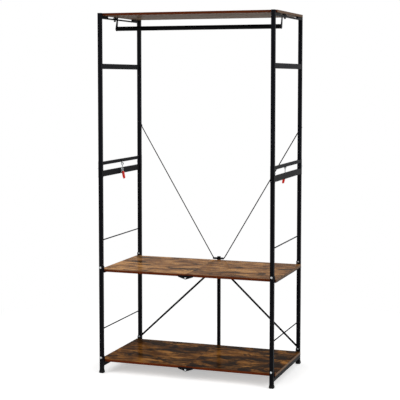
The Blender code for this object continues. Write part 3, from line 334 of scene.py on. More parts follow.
@dataclass(frozen=True)
class PowderCoat(Coat):
    """Black satin powder coat: a fine pebbled skin with a slow drift in tone and sheen."""

    slot: Slot = Slot.BLACK_STEEL
    colour: Triple = (0.0034, 0.0034, 0.0044)
    accent: Triple = (0.0068, 0.0071, 0.0092)
    roughness: float = 0.42
    tones: Layers = ((DRIFT, 0.6), (SCUFFS, 0.4))
    sheens: Layers = ((DRIFT, 0.07), (PEBBLES, 0.05))
    skin: Cloud = PEBBLES
    relief: Pair = (0.08, 0.0001)
    gloss: float = 0.026


@dataclass(frozen=True)
class WeldedCoat(Coat):
    """The same coat over a weld bead, with the bead's ripples."""

    slot: Slot = Slot.BLACK_STEEL
    colour: Triple = (0.0035, 0.0035, 0.0040)
    accent: Triple = (0.009, 0.009, 0.010)
    roughness: float = 0.40
    tones: Layers = ((RIPPLES, 1.0),)
    sheens: Layers = ((RIPPLES, 0.1),)
    skin: Cloud = RIPPLES
    relief: Pair = (0.7, 0.0007)
    gloss: float = 0.06


@dataclass(frozen=True)
class ZincPlate(Coat):
    """Bright zinc on pressed or turned steel, with drawing marks along one axis."""

    slot: Slot = Slot.BRIGHT_STEEL
    colour: Triple = (0.52, 0.54, 0.55)
    accent: Triple = (0.27, 0.29, 0.30)
    roughness: float = 0.26
    tones: Layers = ((BLOOM, 0.7),)
    sheens: Layers = ((DRAWING_MARKS, 0.18),)
    skin: Cloud = DRAWING_MARKS
    relief: Pair = (0.16, 0.0001)
    metallic: float = 1.0


@dataclass(frozen=True)
class DippedVinyl(Coat):
    """Glossy red vinyl, dipped on, with slow waves and a few dull rubs."""

    slot: Slot = Slot.RED_GRIP
    colour: Triple = (0.84, 0.030, 0.016)
    accent: Triple = (0.60, 0.012, 0.005)
    roughness: float = 0.30
    tones: Layers = ((WAVES, 0.6), (RUBS, 0.3))
    sheens: Layers = ((RUBS, 0.2),)
    skin: Cloud = WAVES
    relief: Pair = (0.25, 0.0004)
    gloss: float = 0.12


@dataclass(frozen=True)
class MouldedPlastic(Coat):
    """Matt black plastic with a spark-eroded grain and patches of dust."""

    slot: Slot = Slot.BLACK_PLASTIC
    colour: Triple = (0.0030, 0.0030, 0.0032)
    accent: Triple = (0.014, 0.0135, 0.013)
    roughness: float = 0.46
    tones: Layers = ((DUST_FILM, 0.5),)
    sheens: Layers = ((DUST_FILM, 0.12),)
    skin: Cloud = SPARK_GRAIN
    relief: Pair = (0.35, 0.00012)
    gloss: float = 0.09


@dataclass(frozen=True)
class RusticBoard(Finish):
    """Rustic brown laminate: streaky grain along the board, burnt patches, banded edges, plain backing."""

    slot: Slot = Slot.WOOD
    dark: Triple = (0.070, 0.029, 0.013)
    middle: Triple = (0.268, 0.121, 0.044)
    light: Triple = (0.780, 0.410, 0.150)
    burnt: Triple = (0.020, 0.012, 0.008)
    banding: Triple = (0.070, 0.014, 0.004)
    end: Triple = (0.220, 0.142, 0.096)
    backing: Triple = (0.340, 0.235, 0.165)
    spots: Triple = (0.30, 0.48, 0.70)
    shift: Triple = (0.0, 0.0, 0.0)
    depth: float = 1.0
    roughness: float = 0.10
    back_roughness: float = 0.17
    gloss: float = 0.0012
    grain: tuple[Cloud, Cloud] = (Cloud(11.0, 6.0, 0.66, 0.35, (1.0, 11.0, 11.0)),
                                  Cloud(26.0, 3.0, 0.7, 0.0, (1.0, 30.0, 30.0)))
    print: tuple[Cloud, Cloud, Cloud] = (Cloud(5.0, 4.0, 0.6, 0.8, (1.0, 2.6, 2.6)),
                                         Cloud(8.5, 3.0, 0.6, 0.5, (1.0, 1.9, 1.9)),
                                         Cloud(6.5, 5.0, 0.66, 0.9, (1.0, 1.7, 1.7)))

    def face(self, bench: Bench, streaks: Signal, pores: Signal) -> Signal:
        """Colour the printed face.

        Args:
            bench: The material under construction.
            streaks: The grain's streaks.
            pores: The grain's pores.

        Returns:
            The face's colour.
        """
        flow, golden, blot = (cloud.draw(bench, self.shift) for cloud in self.print)
        share = flow * 0.55 + streaks * 0.95 + golden * 0.60 - 0.55
        tone = bench.ramp(share, self.spots, (self.dark, self.middle, self.light))
        reach = 0.515 + 0.14 * (1.0 - self.depth)
        rough_blot = blot + streaks * 0.45 - 0.225
        burn = blot.span(reach, reach + 0.14) * 0.45 + rough_blot.span(reach + 0.02, reach + 0.11) * 0.45
        tone = bench.blend(burn, tone, self.burnt)
        return bench.blend(pores.span(0.54, 0.74) * 0.45, tone, self.burnt)

    def paint(self, bench: Bench) -> None:
        """Print the face, band the edges and back the underside.

        Args:
            bench: The material under construction.
        """
        streaks, pores = (cloud.draw(bench, self.shift) for cloud in self.grain)
        facing = bench.node("ShaderNodeTexCoord", output="Normal")
        along, across, up = (bench.node("ShaderNodeSeparateXYZ", inputs={0: facing}, output=axis)
                             for axis in "XYZ")
        band = bench.blend(streaks, self.banding, toned(self.banding, 2.0))
        close = bench.blend(streaks.span(0.35, 0.65), toned(self.end, 0.6), self.end)
        back = bench.blend(streaks * 0.5, self.backing, toned(self.backing, 0.75))
        tone = bench.blend(along.size().above(0.5), self.face(bench, streaks, pores), close)
        tone = bench.blend(across.size().above(0.5), tone, band)
        beneath = (0.0 - up).above(0.5)
        sheen = self.roughness + streaks * 0.12 + pores * 0.05 + beneath * self.back_roughness
        bench.set(Base_Color=bench.blend(beneath, tone, back), Roughness=sheen, Specular_IOR_Level=self.gloss,
                  Normal=bench.relief(streaks * 0.5 + pores * 0.5, 0.2, 0.0002))


COAT = PowderCoat("powder_coat")
UPPER_COAT = PowderCoat("powder_coat_upper", colour=(0.0042, 0.0044, 0.0060),
                        accent=(0.0082, 0.0088, 0.0120))
RAIL_COAT = PowderCoat("powder_coat_rail", colour=(0.0022, 0.0022, 0.0028), accent=(0.0046, 0.0047, 0.0058),
                       roughness=0.32, gloss=0.03)
WELD = WeldedCoat("welded_coat")
ZINC = ZincPlate("zinc_plate")
DULL_ZINC = ZincPlate("dull_zinc_plate", colour=(0.26, 0.275, 0.285), accent=(0.14, 0.15, 0.16), roughness=0.34)
VINYL = DippedVinyl("dipped_vinyl")
PLASTIC = MouldedPlastic("moulded_plastic")
SHEET = RusticBoard("laminate")
# Sheet for the low boards: partly a darker print, partly painted shade from the mid shelf above, given as
# darker colours and more burnt patches (a larger depth).
DARKER_PRINT_WITH_PAINTED_SHADE = replace(SHEET, dark=(0.032, 0.012, 0.004), middle=(0.140, 0.052, 0.010),
                       light=(0.520, 0.228, 0.052), burnt=(0.010, 0.006, 0.004), depth=1.45)
BOARDS = {
    "mid_board_left": replace(SHEET, shift=(3.1, 0.7, 0.0)),
    "mid_board_right": replace(SHEET, shift=(7.4, 2.3, 0.0), dark=(0.058, 0.024, 0.011),
                               middle=(0.212, 0.092, 0.033), light=(0.620, 0.322, 0.116)),
    # The low boards wear that sheet with its painted shade; the right one's larger depth burns more of it, so
    # it is darker still.
    "low_board_left": replace(DARKER_PRINT_WITH_PAINTED_SHADE, shift=(11.9, 5.1, 0.0)),
    "low_board_right": replace(DARKER_PRINT_WITH_PAINTED_SHADE, shift=(17.2, 8.6, 0.0), depth=1.75),
    "top_board": replace(SHEET, shift=(23.0, 3.9, 0.0)),
}


def toned(colour: Triple, share: float) -> Triple:
    """A colour made darker or lighter by a share."""
    return (colour[0] * share, colour[1] * share, colour[2] * share)


def run(edge: Edge, axis: int) -> float:
    """How far an edge runs along an axis."""
    return abs(edge.verts[0].co[axis] - edge.verts[1].co[axis])


def dome(radius: float, top: float, drop: float) -> list[Pair]:
    """The profile of a domed head, from its crown to its rim."""
    angles = [step * math.pi / 16 for step in range(9)]
    return [(radius * math.sin(angle), top - drop * (1 - math.cos(angle))) for angle in angles]


def disc(radius: float, top: float, base: float) -> list[Pair]:
    """The profile of a flat round disc."""
    return [(0.0, top), (radius, top), (radius, base), (0.0, base)]


def collar(radius: float, reach: float, top: float, curve: Profile) -> list[Pair]:
    """The profile of a weld round a rod. Its curve has shares of the reach, outwards and down."""
    flank = [(radius + reach * out, -reach * down) for out, down in curve]
    return [(0.0, top), (radius + reach, top), *flank, (0.0, flank[-1][1])]


def move(work: Mesh, shift: Sequence[float]) -> None:
    """Move a whole mesh."""
    bmesh.ops.translate(work, vec=shift, verts=work.verts)


def turn(work: Mesh, matrix: Matrix, place: Sequence[float]) -> None:
    """Turn a mesh, and move its origin to a place."""
    bmesh.ops.transform(work, matrix=Matrix.Translation(place) @ matrix, verts=work.verts)


def stand(work: Mesh, place: Vector, direction: Vector) -> None:
    """Turn a mesh's Z to a direction, and move its origin to a place."""
    turn(work, direction.to_track_quat("Z", "Y").to_matrix().to_4x4(), place)


def bevel(work: Mesh, edges: Sequence[Edge], offset: float, segments: int = 2, clamp: bool = False) -> None:
    """Round some edges off."""
    bmesh.ops.bevel(work, geom=edges, offset=offset, segments=segments, profile=0.5, affect="EDGES",
                    material=-1, clamp_overlap=clamp)


def cuboid(size: Sequence[float], centre: Sequence[float]) -> Mesh:
    """Make a plain box.

    Args:
        size: Its length along each axis.
        centre: Its middle.

    Returns:
        The box.
    """
    work = bmesh.new()
    bmesh.ops.create_cube(work, size=1.0)
    bmesh.ops.scale(work, vec=size, verts=work.verts)
    move(work, centre)
    return work


def block(low: Vector, high: Vector, radius: float = 0.0) -> Mesh:
    """Make a box with rounded edges.

    Args:
        low: One corner.
        high: The opposite corner.
        radius: How far the edges are rounded.

    Returns:
        The box.
    """
    work = cuboid([abs(b - a) for a, b in zip(low, high)], (low + high) / 2)
    if radius:
        bevel(work, work.edges[:], radius, clamp=True)
    return work


def close_spin(work: Mesh, geometry: Sequence[Any], steps: int) -> None:
    """Spin a profile once round Z into a closed body, and merge its points."""
    bmesh.ops.spin(work, geom=geometry, cent=ORIGIN, axis=UP, dvec=ORIGIN, angle=math.tau, steps=steps,
                   use_merge=True)
    bmesh.ops.remove_doubles(work, verts=work.verts, dist=SAME_POINT)
    bmesh.ops.recalc_face_normals(work, faces=work.faces)


def lathe(profile: Profile, start: Vector = ORIGIN, direction: Vector = UP, steps: int = 36) -> Mesh:
    """Turn a closed round body.

    Args:
        profile: Radius and height points down the outside, from the top.
        start: Where height zero lies.
        direction: Where height points.
        steps: Facets round the axis.

    Returns:
        The body.
    """
    work = bmesh.new()
    corners = [work.verts.new((radius, 0.0, height)) for radius, height in profile]
    close_spin(work, corners + [work.edges.new(pair) for pair in zip(corners, corners[1:])], steps)
    stand(work, start, direction)
    return work


def cut(work: Mesh, point: Triple, normal: Vector, slack: float = 0.0, clear: bool = False) -> list[Edge]:
    """Cut a mesh along a plane.

    Args:
        work: The mesh.
        point: A point on the plane.
        normal: The plane's normal.
        slack: Points closer than this to the plane are moved onto it.
        clear: Whether the part that the normal points at is taken away.

    Returns:
        The edges on the cut.
    """
    made = bmesh.ops.bisect_plane(work, geom=work.verts[:] + work.edges[:] + work.faces[:], dist=slack,
                                  plane_co=point, plane_no=normal, clear_outer=clear)
    return [item for item in made["geom_cut"] if isinstance(item, Edge)]


def trim_front(work: Mesh, depth: float) -> None:
    """Take away what lies in front of a depth along Y, and close the cut."""
    rims = cut(work, (0, depth, 0), FORWARD, SAME_POINT / 2, clear=True)
    bmesh.ops.holes_fill(work, edges=rims, sides=0)


def pull(work: Mesh, face: Face, shift: Triple, hollow: bool = False) -> None:
    """Extrude a face.

    Args:
        work: The mesh.
        face: The face.
        shift: How far, and which way.
        hollow: Whether the face itself is taken away, as at a pocket's mouth.
    """
    grown = bmesh.ops.extrude_face_region(work, geom=[face])["geom"]
    if hollow:
        bmesh.ops.delete(work, geom=[face], context="FACES_ONLY")
    corners = [item for item in grown if isinstance(item, bmesh.types.BMVert)]
    bmesh.ops.translate(work, vec=shift, verts=corners)


def merge(parts: Sequence[Mesh]) -> Mesh:
    """Put several meshes into one.

    Args:
        parts: The meshes. They are used up.

    Returns:
        The whole.
    """
    whole = bmesh.new()
    for part in parts:
        mesh = bpy.data.meshes.new("part")
        part.to_mesh(mesh)
        part.free()
        whole.from_mesh(mesh)
        bpy.data.meshes.remove(mesh)
    return whole


def copy_of(node: str) -> Mesh:
    """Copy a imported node's mesh, in its place, and merge its points.

    Args:
        node: The node's name.

    Returns:
        The merged copy.
    """
    work = bmesh.new()
    work.from_mesh(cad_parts[node].data)
    bmesh.ops.remove_doubles(work, verts=work.verts, dist=SAME_POINT)
    return work


def link(name: str, data: bpy.types.ID) -> Item:
    """Put a new object into the scene.

    Args:
        name: Its name.
        data: Its mesh, camera or light.

    Returns:
        The object.
    """
    item = bpy.data.objects.new(name, data)
    bpy.context.scene.collection.objects.link(item)
    return item


def show(name: str, work: Mesh, material: Optional[Material] = None) -> Item:
    """Put a mesh into the scene.

    Args:
        name: Its name.
        work: The mesh. It is used up.
        material: What it wears.

    Returns:
        The object.
    """
    mesh = bpy.data.meshes.new(name)
    work.to_mesh(mesh)
    work.free()
    if material:
        mesh.materials.append(material)
    return link(name, mesh)


def carve(work: Mesh, tool: Mesh) -> Mesh:
    """Cut one closed mesh out of another with an exact Boolean.

    Args:
        work: The body to cut. It is used up.
        tool: What is taken out of it. It is used up.

    Returns:
        The cut body.
    """
    items = [show("carved", work), show("carver", tool)]
    modifier = items[0].modifiers.new("cut", "BOOLEAN")
    modifier.operation, modifier.solver, modifier.object = "DIFFERENCE", "EXACT", items[1]
    bpy.context.view_layer.update()
    seen = items[0].evaluated_get(bpy.context.evaluated_depsgraph_get())
    mesh = bpy.data.meshes.new_from_object(seen)
    result = bmesh.new()
    result.from_mesh(mesh)
    for item in items:
        data = item.data
        bpy.data.objects.remove(item, do_unlink=True)
        bpy.data.meshes.remove(data)
    bpy.data.meshes.remove(mesh)
    return result


def recess(work: Mesh, reach: float, width: float, floor: float) -> Mesh:
    """Cut a cross recess down a head that stands on +Z.

    Args:
        work: The head. It is used up.
        reach: Half the cross's length.
        width: Half a slot's width.
        floor: The height of the recess's floor.

    Returns:
        The cut head.
    """
    top = max(vert.co.z for vert in work.verts) + 0.002
    for x, y in ((reach, width), (width, reach)):
        work = carve(work, block(Vector((-x, -y, floor)), Vector((x, y, top))))
    return work


@dataclass
class Assembly:
    """A sub-assembly that dresses its nodes and delivers its new pieces."""

    chance: random.Random
    made: int = field(default=0, init=False)

    def deliver(self, name: str, work: Mesh, finish: Finish, body: str, stands_for: Sequence[str] = (),
                angle: float = 40.0) -> None:
        """Turn a mesh into a finished piece that rides on a body.

        Args:
            name: The piece's name.
            work: Its mesh, in place. It is used up.
            finish: What it wears.
            body: The body that carries it.
            stands_for: CAD nodes that it is shown instead of.
            angle: Edges sharper than this stay sharp.
        """
        piece = show(name, work, finish.mix())
        piece.data.shade_smooth()
        piece.data.set_sharp_from_angle(angle=math.radians(angle))
        if stands_for:
            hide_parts(*stands_for)
        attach(piece, body)
        self.made += 1
        LOG.info("piece %s rides on %s", name, body)

    def round_off(self, node: str, finish: Finish, body: str) -> None:
        """Show a round node as a merged copy whose facets are shaded as one curve."""
        self.deliver(f"round_{node}", copy_of(node), finish, body, [node])

    def dress(self, node: str, finish: Finish) -> None:
        """Give a CAD node its finish.

        Args:
            node: The node's name.
            finish: What it wears.
        """
        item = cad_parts[node]
        item.data.materials.clear()
        item.data.materials.append(finish.mix())
        LOG.info("node %s wears %s", node, finish.name)

    def dress_board(self, node: str) -> None:
        """Give a board its own cut of the laminate."""
        self.dress(node, replace(BOARDS[node], name=f"laminate_{node}"))


@dataclass
class SideFrame(Assembly):
    """One welded side frame: tubes, bars, rods, feet, buttons and the beads that join them."""

    side: Side
    bead_rise: float = 0.0009
    bead_run: float = 0.0016
    bead_sink: float = 0.0003
    bead_width: float = 0.012
    bead_edge: float = 0.0006
    longest_edge: float = 0.004
    bead_waver: float = 0.00009
    keeper_height: float = 0.016
    board_gap: float = 0.0002
    rod_bead: float = 0.0014
    rod_waver: float = 0.00007
    rod_curve: Profile = ((0.75, 0.5), (0.3, 1.1), (0.0, 1.6))
    foot_rings: Profile = ((0.0, 0.80), (0.0012, 0.90), (0.0032, 0.985), (0.0055, 1.0), (0.0085, 0.975),
                           (0.0112, 0.92), (0.0135, 0.87), (0.0148, 0.845))
    ring_reach: float = 0.0003
    foot_corner: float = 0.24
    pocket_gap: float = 0.0001
    button_radius: float = 0.0034
    button_flange: float = 0.0046
    flange_rise: float = 0.0012

    def dress_tubes(self) -> None:
        """Coat the posts, bars and rods."""
        for row in Row:
            self.dress(f"lower_post_{row}_{self.side}", COAT)
            self.dress(f"upper_post_{row}_{self.side}", UPPER_COAT)
        for node in LOWER_BARS:
            self.dress(f"{node}_{self.side}", COAT)
        for node in RODS:
            self.round_off(f"{node}_{self.side}", COAT, f"{self.side}_frame")
        for node in UPPER_BARS:
            self.dress(f"{node}_{self.side}", UPPER_COAT)

    def roughen(self, work: Mesh, amount: float) -> None:
        """Push a bead's points about, the same way on each run."""
        for vert in work.verts:
            vert.co += Vector([self.chance.uniform(-amount, amount) for _ in range(3)])

    def bar_bead(self, node: str, row: Row) -> Mesh:
        """Lay a bead round an end of a flat bar.

        Args:
            node: The bar.
            row: The end.

        Returns:
            The bead.
        """
        low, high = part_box(node)
        out, rise = self.side.outward, self.bead_rise
        outer = out * max(abs(low.x), abs(high.x))
        inner = outer - out * (min(high.x - low.x, self.bead_width) + rise)
        start = (high.y if row is Row.REAR else low.y) + row.outward * self.bead_sink
        base = high.z - self.keeper_height if "keeper" in node else low.z
        top = high.z - rise - self.board_gap if "top_rail" in node else high.z
        x = sorted((outer - out * self.bead_sink, inner))
        y = sorted((start, start - row.outward * self.bead_run))
        work = block(Vector((x[0], y[0], base - rise)), Vector((x[1], y[1], top + rise)), self.bead_edge)
        long_edges = [edge for edge in work.edges if edge.calc_length() > self.longest_edge]
        bmesh.ops.subdivide_edges(work, edges=long_edges, cuts=7, use_grid_fill=True)
        self.roughen(work, self.bead_waver)
        return work

    def rod_collar(self, node: str, row: Row) -> Mesh:
        """Lay a fillet round an end of a round rod.

        Args:
            node: The rod.
            row: The end.

        Returns:
            The fillet.
        """
        low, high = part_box(node)
        place = (low + high) / 2
        place.y = high.y if row is Row.REAR else low.y
        profile = collar((high.z - low.z) / 2, self.rod_bead, self.bead_sink, self.rod_curve)
        work = lathe(profile, place, Vector((0, row.outward, 0)), 18)
        self.roughen(work, self.rod_waver)
        return work

    def weld(self) -> None:
        """Lay the frame's beads as one piece."""
        beads = []
        for row in Row:
            beads += [self.bar_bead(f"{node}_{self.side}", row) for node in LOWER_BARS + UPPER_BARS]
            beads += [self.rod_collar(f"{node}_{self.side}", row) for node in RODS]
        self.deliver(f"weld_beads_{self.side}", merge(beads), WELD, f"{self.side}_frame")

    def foot(self, row: Row) -> None:
        """Model one foot: a rounded square bulb with a pocket for its post.

        Args:
            row: The foot's row.
        """
        node = f"foot_{row}_{self.side}"
        low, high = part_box(node)
        centre = (low + high) / 2
        width, height = high.x - low.x, high.z - low.z
        work = cuboid((width, width, height), (0, 0, height / 2))
        bevel(work, [edge for edge in work.edges if run(edge, 2) > height / 2], width * self.foot_corner, 6)
        for level, _ in self.foot_rings[1:-1]:
            cut(work, (0, 0, level), UP)
        for level, share in self.foot_rings:
            ring = [vert for vert in work.verts if abs(vert.co.z - min(level, height)) < self.ring_reach]
            bmesh.ops.scale(work, vec=(share, share, 1), verts=ring)
        top = max(work.faces, key=lambda face: face.calc_center_median().z)
        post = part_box(f"lower_post_{row}_{self.side}")
        pocket = (post[1].x - post[0].x) / 2 + self.pocket_gap
        rim = width * self.foot_rings[-1][1] / 2 - pocket
        bmesh.ops.inset_region(work, faces=[top], thickness=rim, depth=0.0)
        pull(work, top, (0, 0, -height / 2), hollow=True)
        bmesh.ops.recalc_face_normals(work, faces=work.faces)
        move(work, (centre.x, centre.y, low.z))
        self.deliver(f"moulded_{node}", work, PLASTIC, f"{self.side}_frame", [node], 60.0)

    def button(self, row: Row) -> None:
        """Model one spring button with a true dome.

        Args:
            row: The button's row.
        """
        node = f"button_{row}_{self.side}"
        low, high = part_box(node)
        start = (low + high) / 2
        start.x = low.x if self.side is Side.RIGHT else high.x
        radius, rise = self.button_radius, self.flange_rise
        profile = dome(radius, high.x - low.x, radius * 0.75) + [(radius, rise)]
        profile += disc(self.button_flange, rise, 0.0)[1:]
        work = lathe(profile, start, Vector((self.side.outward, 0, 0)), 40)
        self.deliver(f"domed_{node}", work, ZINC, f"{node}_body", [node])

    def build(self) -> None:
        """Dress and finish the frame."""
        self.dress_tubes()
        self.weld()
        for row in Row:
            self.foot(row)
            self.button(row)


@dataclass
class Shelf(Assembly):
    """One hinged shelf: boards, brackets, and the screws, rivets and nuts that hold them."""

    level: Level
    head_radius: float = 0.0049
    head_tip: float = 0.0062
    head_drop: float = 0.0016
    head_rim: Profile = ((0.0049, 0.0020), (0.0052, 0.0018), (0.0052, 0.0011), (0.0, 0.0011))
    head_cross: Triple = (0.0028, 0.0006, 0.0053)
    dark_washer: Profile = ((0.0, 0.0012), (0.0062, 0.0012), (0.0064, 0.0010), (0.0064, 0.0002),
                            (0.0, 0.0002))
    nut_width: float = 0.0100
    nut_tip: float = 0.00625
    nut_lift: float = 0.0023
    washer_radius: float = 0.0064
    washer_top: float = 0.0016
    washer_base: float = 0.0002
    thread: Profile = ((0.0, 0.00635), (0.0020, 0.00635), (0.0026, 0.00585), (0.0026, 0.00425),
                       (0.0, 0.00425))
    pivot_rise: float = 0.0115
    post_inset: float = 0.0007
    washer_stub: float = 0.0004
    ear_tip: float = 0.0034
    ear_drop: float = 0.0014
    ear_sink: float = 0.0004
    screw: Profile = ((0.0, 0.0008), (0.0013, 0.0008), (0.0026, 0.0006), (0.0034, 0.0), (0.0034, -0.0004),
                      (0.0, -0.0004))
    screw_cross: Triple = (0.0018, 0.0004, 0.0003)
    screw_spread: float = 0.190
    end_strip: Pair = (0.019, 0.0038)
    centre_strip: Pair = (0.0135, 0.0033)
    rivet_radius: float = 0.0047
    rivet_rise: float = 0.0016
    rivet_proud: float = 0.00005
    rivet_foot: float = -0.0013
    rivet_drop: float = 0.007
    flat_angle: float = 5.0

    def pivot(self, side: Side) -> Vector:
        """Find where the shelf's end bolt crosses its posts, at the middle of the frame's depth.

        Args:
            side: The side.

        Returns:
            The point.
        """
        low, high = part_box(f"{self.level}_board_{side}")
        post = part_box(f"lower_post_front_{side}")
        return Vector(((post[0].x + post[1].x) / 2, (low.y + high.y) / 2, high.z + self.pivot_rise))

    def screw_head(self, seat: Vector) -> Mesh:
        """Turn a pan head with a cross recess and a narrow flange.

        Args:
            seat: The point of the axis on the post's front face.

        Returns:
            The head.
        """
        head = lathe(dome(self.head_radius, self.head_tip, self.head_drop) + list(self.head_rim))
        head = recess(head, *self.head_cross)
        stand(head, seat, FORWARD)
        return head

    def lock_nut(self, seat: Vector, lift: float) -> Mesh:
        """Make a hexagon lock nut on its washer, with the bolt's end showing.

        Args:
            seat: The point of the axis on the post's rear face.
            lift: How far the washer stands off the post.

        Returns:
            The nut.
        """
        nut = bmesh.new()
        depth = self.nut_tip - lift - self.washer_top
        corner = self.nut_width / 2 / math.cos(math.pi / 6)
        bmesh.ops.create_cone(nut, cap_ends=True, segments=6, radius1=corner, radius2=corner, depth=depth)
        move(nut, (0, 0, self.nut_tip - depth / 2))
        bevel(nut, nut.edges[:], 0.0005, 3)
        washer = lathe(disc(self.washer_radius, lift + self.washer_top, lift + self.washer_base))
        whole = merge([nut, washer, lathe(self.thread, steps=24)])
        stand(whole, seat, BACKWARD)
        return whole

    def fasten_end(self, side: Side) -> None:
        """Put a screw on a dark washer in front and a nut behind on an end bolt.

        Args:
            side: The side.
        """
        body, bracket = f"{self.level}_{side}_half", f"{self.level}_end_bracket_{side}"
        point = self.pivot(side)
        front, rear = (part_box(f"lower_post_{row}_{side}") for row in Row)
        seat = Vector((point.x, front[0].y + self.post_inset, point.z))
        back = Vector((point.x, rear[1].y - self.post_inset, point.z))
        bare = copy_of(bracket)
        trim_front(bare, seat.y - self.washer_stub)
        bare = merge([bare, lathe(self.dark_washer, seat, FORWARD)])
        self.deliver(f"bare_{bracket}", bare, COAT, body, [bracket], self.flat_angle)
        self.deliver(f"bolt_head_{self.level}_{side}", self.screw_head(seat), ZINC, body)
        lift = self.nut_lift if self.level is Level.LOW else 0.0
        self.deliver(f"lock_nut_{self.level}_{side}", self.lock_nut(back, lift), ZINC, body)

    def ear_heads(self, side: Side) -> None:
        """Set bright heads on the inner faces of the ears.

        Args:
            side: The side.
        """
        point = self.pivot(side)
        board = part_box(f"{self.level}_board_{side}")
        profile = dome(self.head_radius, self.ear_tip, self.ear_drop) + [(self.head_radius, 0.0), (0.0, 0.0)]
        heads = []
        for edge, direction in ((board[0].y, BACKWARD), (board[1].y, FORWARD)):
            start = Vector((point.x, edge - direction.y * self.ear_sink, point.z))
            heads.append(lathe(profile, start, direction))
        self.deliver(f"ear_heads_{self.level}_{side}", merge(heads), DULL_ZINC, f"{self.level}_{side}_half")

    def strip_screws(self, side: Side) -> None:
        """Drive the small countersunk screws that hold the two strips to the board's underside.

        Args:
            side: The side.
        """
        low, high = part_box(f"{self.level}_board_{side}")
        end = max(abs(low.x), abs(high.x)) - self.end_strip[0]
        heads = []
        for x, drop in ((end, self.end_strip[1]), self.centre_strip):
            for share in (-1, 0, 1):
                y = (low.y + high.y) / 2 + share * self.screw_spread
                head = recess(lathe(self.screw, steps=24), *self.screw_cross)
                spin = Matrix.Rotation(self.chance.uniform(0, 1.5), 4, "Z")
                turn(head, Matrix.Rotation(math.pi, 4, "X") @ spin, (side.outward * x, y, low.z - drop))
                heads.append(head)
        self.deliver(f"strip_screws_{self.level}_{side}", merge(heads), ZINC, f"{self.level}_{side}_half")

    def centre_rivet(self) -> None:
        """Set the domed rivet head on the hinge plates at the shelf's middle."""
        bracket, body = f"{self.level}_centre_bracket_left", f"{self.level}_left_half"
        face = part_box(bracket)[0].y + self.rivet_rise
        bare = copy_of(bracket)
        trim_front(bare, face - self.rivet_proud)
        self.deliver(f"bare_{bracket}", bare, COAT, body, [bracket], self.flat_angle)
        profile = dome(self.rivet_radius, self.rivet_rise + self.rivet_proud, self.rivet_rise)
        profile += [(self.rivet_radius, self.rivet_foot), (0.0, self.rivet_foot)]
        start = Vector((0.0, face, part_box(f"{self.level}_board_left")[0].z - self.rivet_drop))
        self.deliver(f"hinge_rivet_{self.level}", lathe(profile, start, FORWARD), ZINC, body)

    def build(self) -> None:
        """Dress and finish the shelf."""
        self.dress(f"{self.level}_centre_bracket_right", COAT)
        for side in Side:
            self.dress_board(f"{self.level}_board_{side}")
            self.strip_screws(side)
            self.fasten_end(side)
            self.ear_heads(side)
        self.centre_rivet()


@dataclass
class RearLinkage(Assembly):
    """Centre post, slider, braces and stays behind the shelves."""

    yoke_half: float = 0.031
    yoke_rise: float = 0.0052
    yoke_drop: float = 0.0088
    yoke_gap: float = 0.0001
    yoke_plate: float = 0.0019
    rivet_inset: float = 0.0042
    rivet: Profile = ((0.0, 0.0014), (0.0014, 0.0012), (0.0025, 0.0006), (0.0028, -0.0002), (0.0, -0.0002))
    pin_drop: float = 0.0065
    cap: Profile = ((0.0, 0.00015), (0.0024, 0.00015), (0.0036, -0.0003), (0.0039, -0.0012),
                    (0.0039, -0.0016),
                    (0.0, -0.0016))

    def yoke(self) -> None:
        """Make the flat plate across the centre post's top, with a rivet by each stay's hook."""
        low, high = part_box("centre_post")
        half, rise, level = self.yoke_half, self.yoke_rise, high.z - self.yoke_drop
        back = low.y - self.yoke_gap
        front = back - self.yoke_plate
        work = block(Vector((-half, front, level - rise)), Vector((half, back, level + rise)))
        bevel(work, [edge for edge in work.edges if run(edge, 1) > 0.001], rise * 0.8, 6)
        bevel(work, [edge for edge in work.edges if edge.calc_face_angle(0.0) > 1.2], 0.0003)
        rivets = [lathe(self.rivet, Vector((x, front + 0.0001, level)), FORWARD, 28)
                  for x in (-half + self.rivet_inset, half - self.rivet_inset)]
        self.deliver("stay_yoke", merge([work, *rivets]), COAT, "centre_post_body")

    def stay_cap(self, side: Side) -> None:
        """Push a spring washer over the pin that a stay turns on.

        Args:
            side: The stay's side.
        """
        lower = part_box(f"lower_post_rear_{side}")
        tip = Vector(((lower[0].x + lower[1].x) / 2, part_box(f"upper_post_rear_{side}")[1].y,
                      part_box(f"stay_{side}")[1].z - self.pin_drop))
        self.deliver(f"stay_cap_{side}", lathe(self.cap, tip, BACKWARD, 32), ZINC, f"{side}_frame")

    def build(self) -> None:
        """Coat the linkage and cap its pins."""
        for node in ("centre_post", "slider", "brace_left", "brace_right"):
            self.dress(node, COAT)
        for side in Side:
            self.round_off(f"stay_{side}", COAT, f"stay_{side}_body")
            self.stay_cap(side)
        self.yoke()


@dataclass
class TopSet(Assembly):
    """The top board, and the round rail with its straps and knobs."""

    rail_radius: float = 0.011
    strap_gap: float = 0.0003
    strap_face: float = 0.4285
    bead: float = 0.0012
    bead_curve: Profile = ((0.7, 0.6), (0.2, 1.3), (-1 / 6, 1.7))

    def build(self) -> None:
        """Dress the board, coat the rail, bead its straps and dress the knobs."""
        self.dress_board("top_board")
        self.round_off("hanging_rail", RAIL_COAT, "top_set")
        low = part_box("hanging_rail")[0]
        centre = self.rail_radius + self.strap_gap
        profile = collar(self.rail_radius, self.bead, 0.0, self.bead_curve)
        rings = []
        for side in Side:
            start = Vector((side.outward * self.strap_face, low.y + centre, low.z + centre))
            rings.append(lathe(profile, start, Vector((side.outward, 0, 0)), 40))
            self.dress(f"knob_{side}", PLASTIC)
        self.deliver("rail_end_beads", merge(rings), WELD, "top_set")


